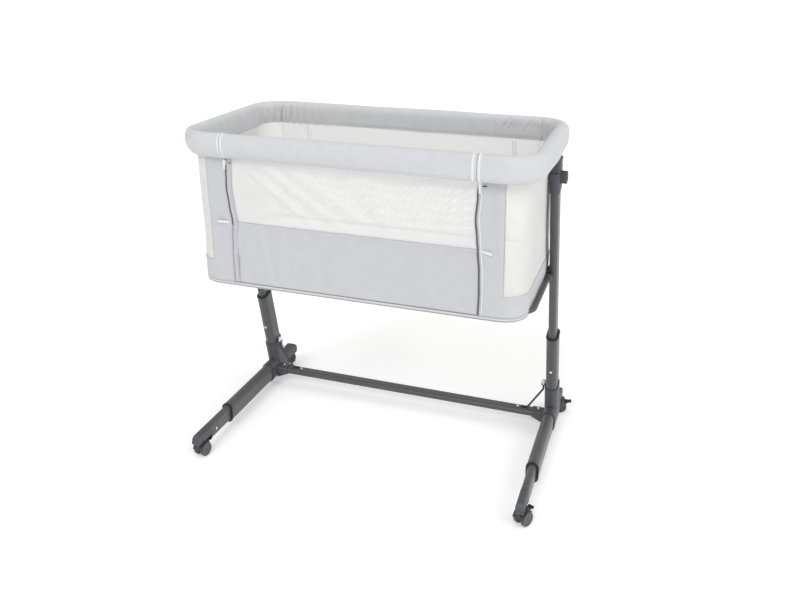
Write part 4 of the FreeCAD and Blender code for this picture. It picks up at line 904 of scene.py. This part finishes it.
def make_mattress():
    """Quilted mattress with soft edges."""
    low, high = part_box("mattress")
    half_x, half_y = high.x, high.y - MID_Y
    r, thick = 0.055, high.z - low.z
    s = np.linspace(0, whole_length(half_x, half_y, r), 400, endpoint=False)
    levels = [(0.03, 0.0), (0.008, 0.001), (0.002, 0.004), (0.0005, 0.009), (0.0, 0.02), (0.0, 0.028),
              (0.0005, 0.036), (0.003, 0.0405), (0.007, 0.0428), (0.014, 0.0443)]
    place, normal = outline(s, half_x, half_y, r)
    middle = np.array((0, MID_Y))
    rings = [np.column_stack([middle + (place - middle) * share, np.full(len(s), low.z)])
             for share in (0.002, 0.3, 0.6, 0.8)]
    for inset, up in levels:
        rings.append(np.column_stack([place - normal * inset, np.full(len(s), low.z + up)]))
    edge = place - normal * 0.014
    for share in np.concatenate([np.linspace(0.97, 0.1, 44), [0.03, 0.002]]):
        ring = middle + (edge - middle) * share
        up = 0.0443 + (thick - 0.0448) * smooth((1 - share) * 3.2)
        plus, minus = (np.sin(math.pi * (ring[:, 0] + k * ring[:, 1]) / 0.085) for k in (1, -1))
        drop = 0.0035 * (1 - np.abs(plus * minus) ** 0.5) * smooth((1 - share) * 12)
        rings.append(np.column_stack([ring, low.z + up - drop]))
    grid = np.array(rings)
    depth = np.cumsum(np.concatenate([[0], np.linalg.norm(np.diff(grid[:, 0], axis=0), axis=1)]))
    uv = np.stack(np.meshgrid(depth, s, indexing="ij"), -1)
    piece = grid_object("mattress_cover", grid, uv[..., ::-1], closed_columns=True)
    finish_piece(piece, "mattress_fabric", "mattress", "mattress")


# ---------------------------------------------------------------- stage
FLOOR_HALF, FLOOR_WHITE, FLOOR_GLOW, STUDIO_LIGHT = 60, 0.9, 0.21, 0.69
LAMPS = (("key", (-0.3, -2.6, 2.6), 1.05, 24, (1, 1, 1)),     # towards it, strength, spread in degrees, colour
         ("fill", (2.6, -0.5, 1.6), 1.0, 60, (1, 0.985, 0.96)))
FOCAL_PX, CENTRE_PX = 840.3, (389.6, 199.7)                   # in an image of 800 by 600
CAMERA_YAW, CAMERA_PITCH = -0.337, 0.287


def make_stage():
    """White floor, even studio light, a soft key from the front and a fill from the right."""
    floor = mesh_object("floor", [(x * FLOOR_HALF, y * FLOOR_HALF, 0) for x, y in ((-1, -1), (1, -1), (1, 1), (-1, 1))],
                        [(0, 1, 2, 3)])
    material, _, shader = new_material("floor")
    shader.inputs["Base Color"].default_value = (FLOOR_WHITE,) * 3 + (1,)
    shader.inputs["Roughness"].default_value = 0.9
    shader.inputs["Specular IOR Level"].default_value = 0.0
    shader.inputs["Emission Color"].default_value = (1, 1, 1, 1)
    shader.inputs["Emission Strength"].default_value = FLOOR_GLOW
    floor.data.materials.append(material)
    world = bpy.data.worlds.new("studio")
    world.use_nodes = True
    world.node_tree.nodes["Background"].inputs["Color"].default_value = (1, 1, 1, 1)
    world.node_tree.nodes["Background"].inputs["Strength"].default_value = STUDIO_LIGHT
    bpy.context.scene.world = world
    bpy.context.scene.view_settings.view_transform = "Standard"
    for name, place, strength, spread, colour in LAMPS:
        light = bpy.data.lights.new(name, "SUN")
        light.energy, light.angle, light.color = strength, math.radians(spread), colour
        lamp = bpy.data.objects.new(name, light)
        lamp.location = place
        lamp.rotation_euler = (-Vector(place)).to_track_quat("-Z", "Y").to_euler()
        bpy.context.scene.collection.objects.link(lamp)


def make_camera():
    """The photograph's viewpoint, for an image of 800 by 600."""
    camera = bpy.data.cameras.new("camera")
    camera.lens = FOCAL_PX / 800 * camera.sensor_width
    camera.shift_x = -(CENTRE_PX[0] - 400) / 800
    camera.shift_y = -(300 - CENTRE_PX[1]) / 800
    camera.clip_end = 200
    thing = bpy.data.objects.new("camera", camera)
    thing.location = (0.7475, -2.0438 + MID_Y, 1.3890)
    level = math.cos(CAMERA_PITCH)
    ahead = Vector((math.sin(CAMERA_YAW) * level, math.cos(CAMERA_YAW) * level, -math.sin(CAMERA_PITCH)))
    thing.rotation_euler = ahead.to_track_quat("-Z", "Y").to_euler()
    bpy.context.scene.collection.objects.link(thing)
    bpy.context.scene.camera = thing


make_camera()
make_stage()
dress_frame()
make_rims()
make_walls()
make_skirt()
make_zips()
make_loops()
make_brace_caps()
make_clips()
make_base()
make_mattress()
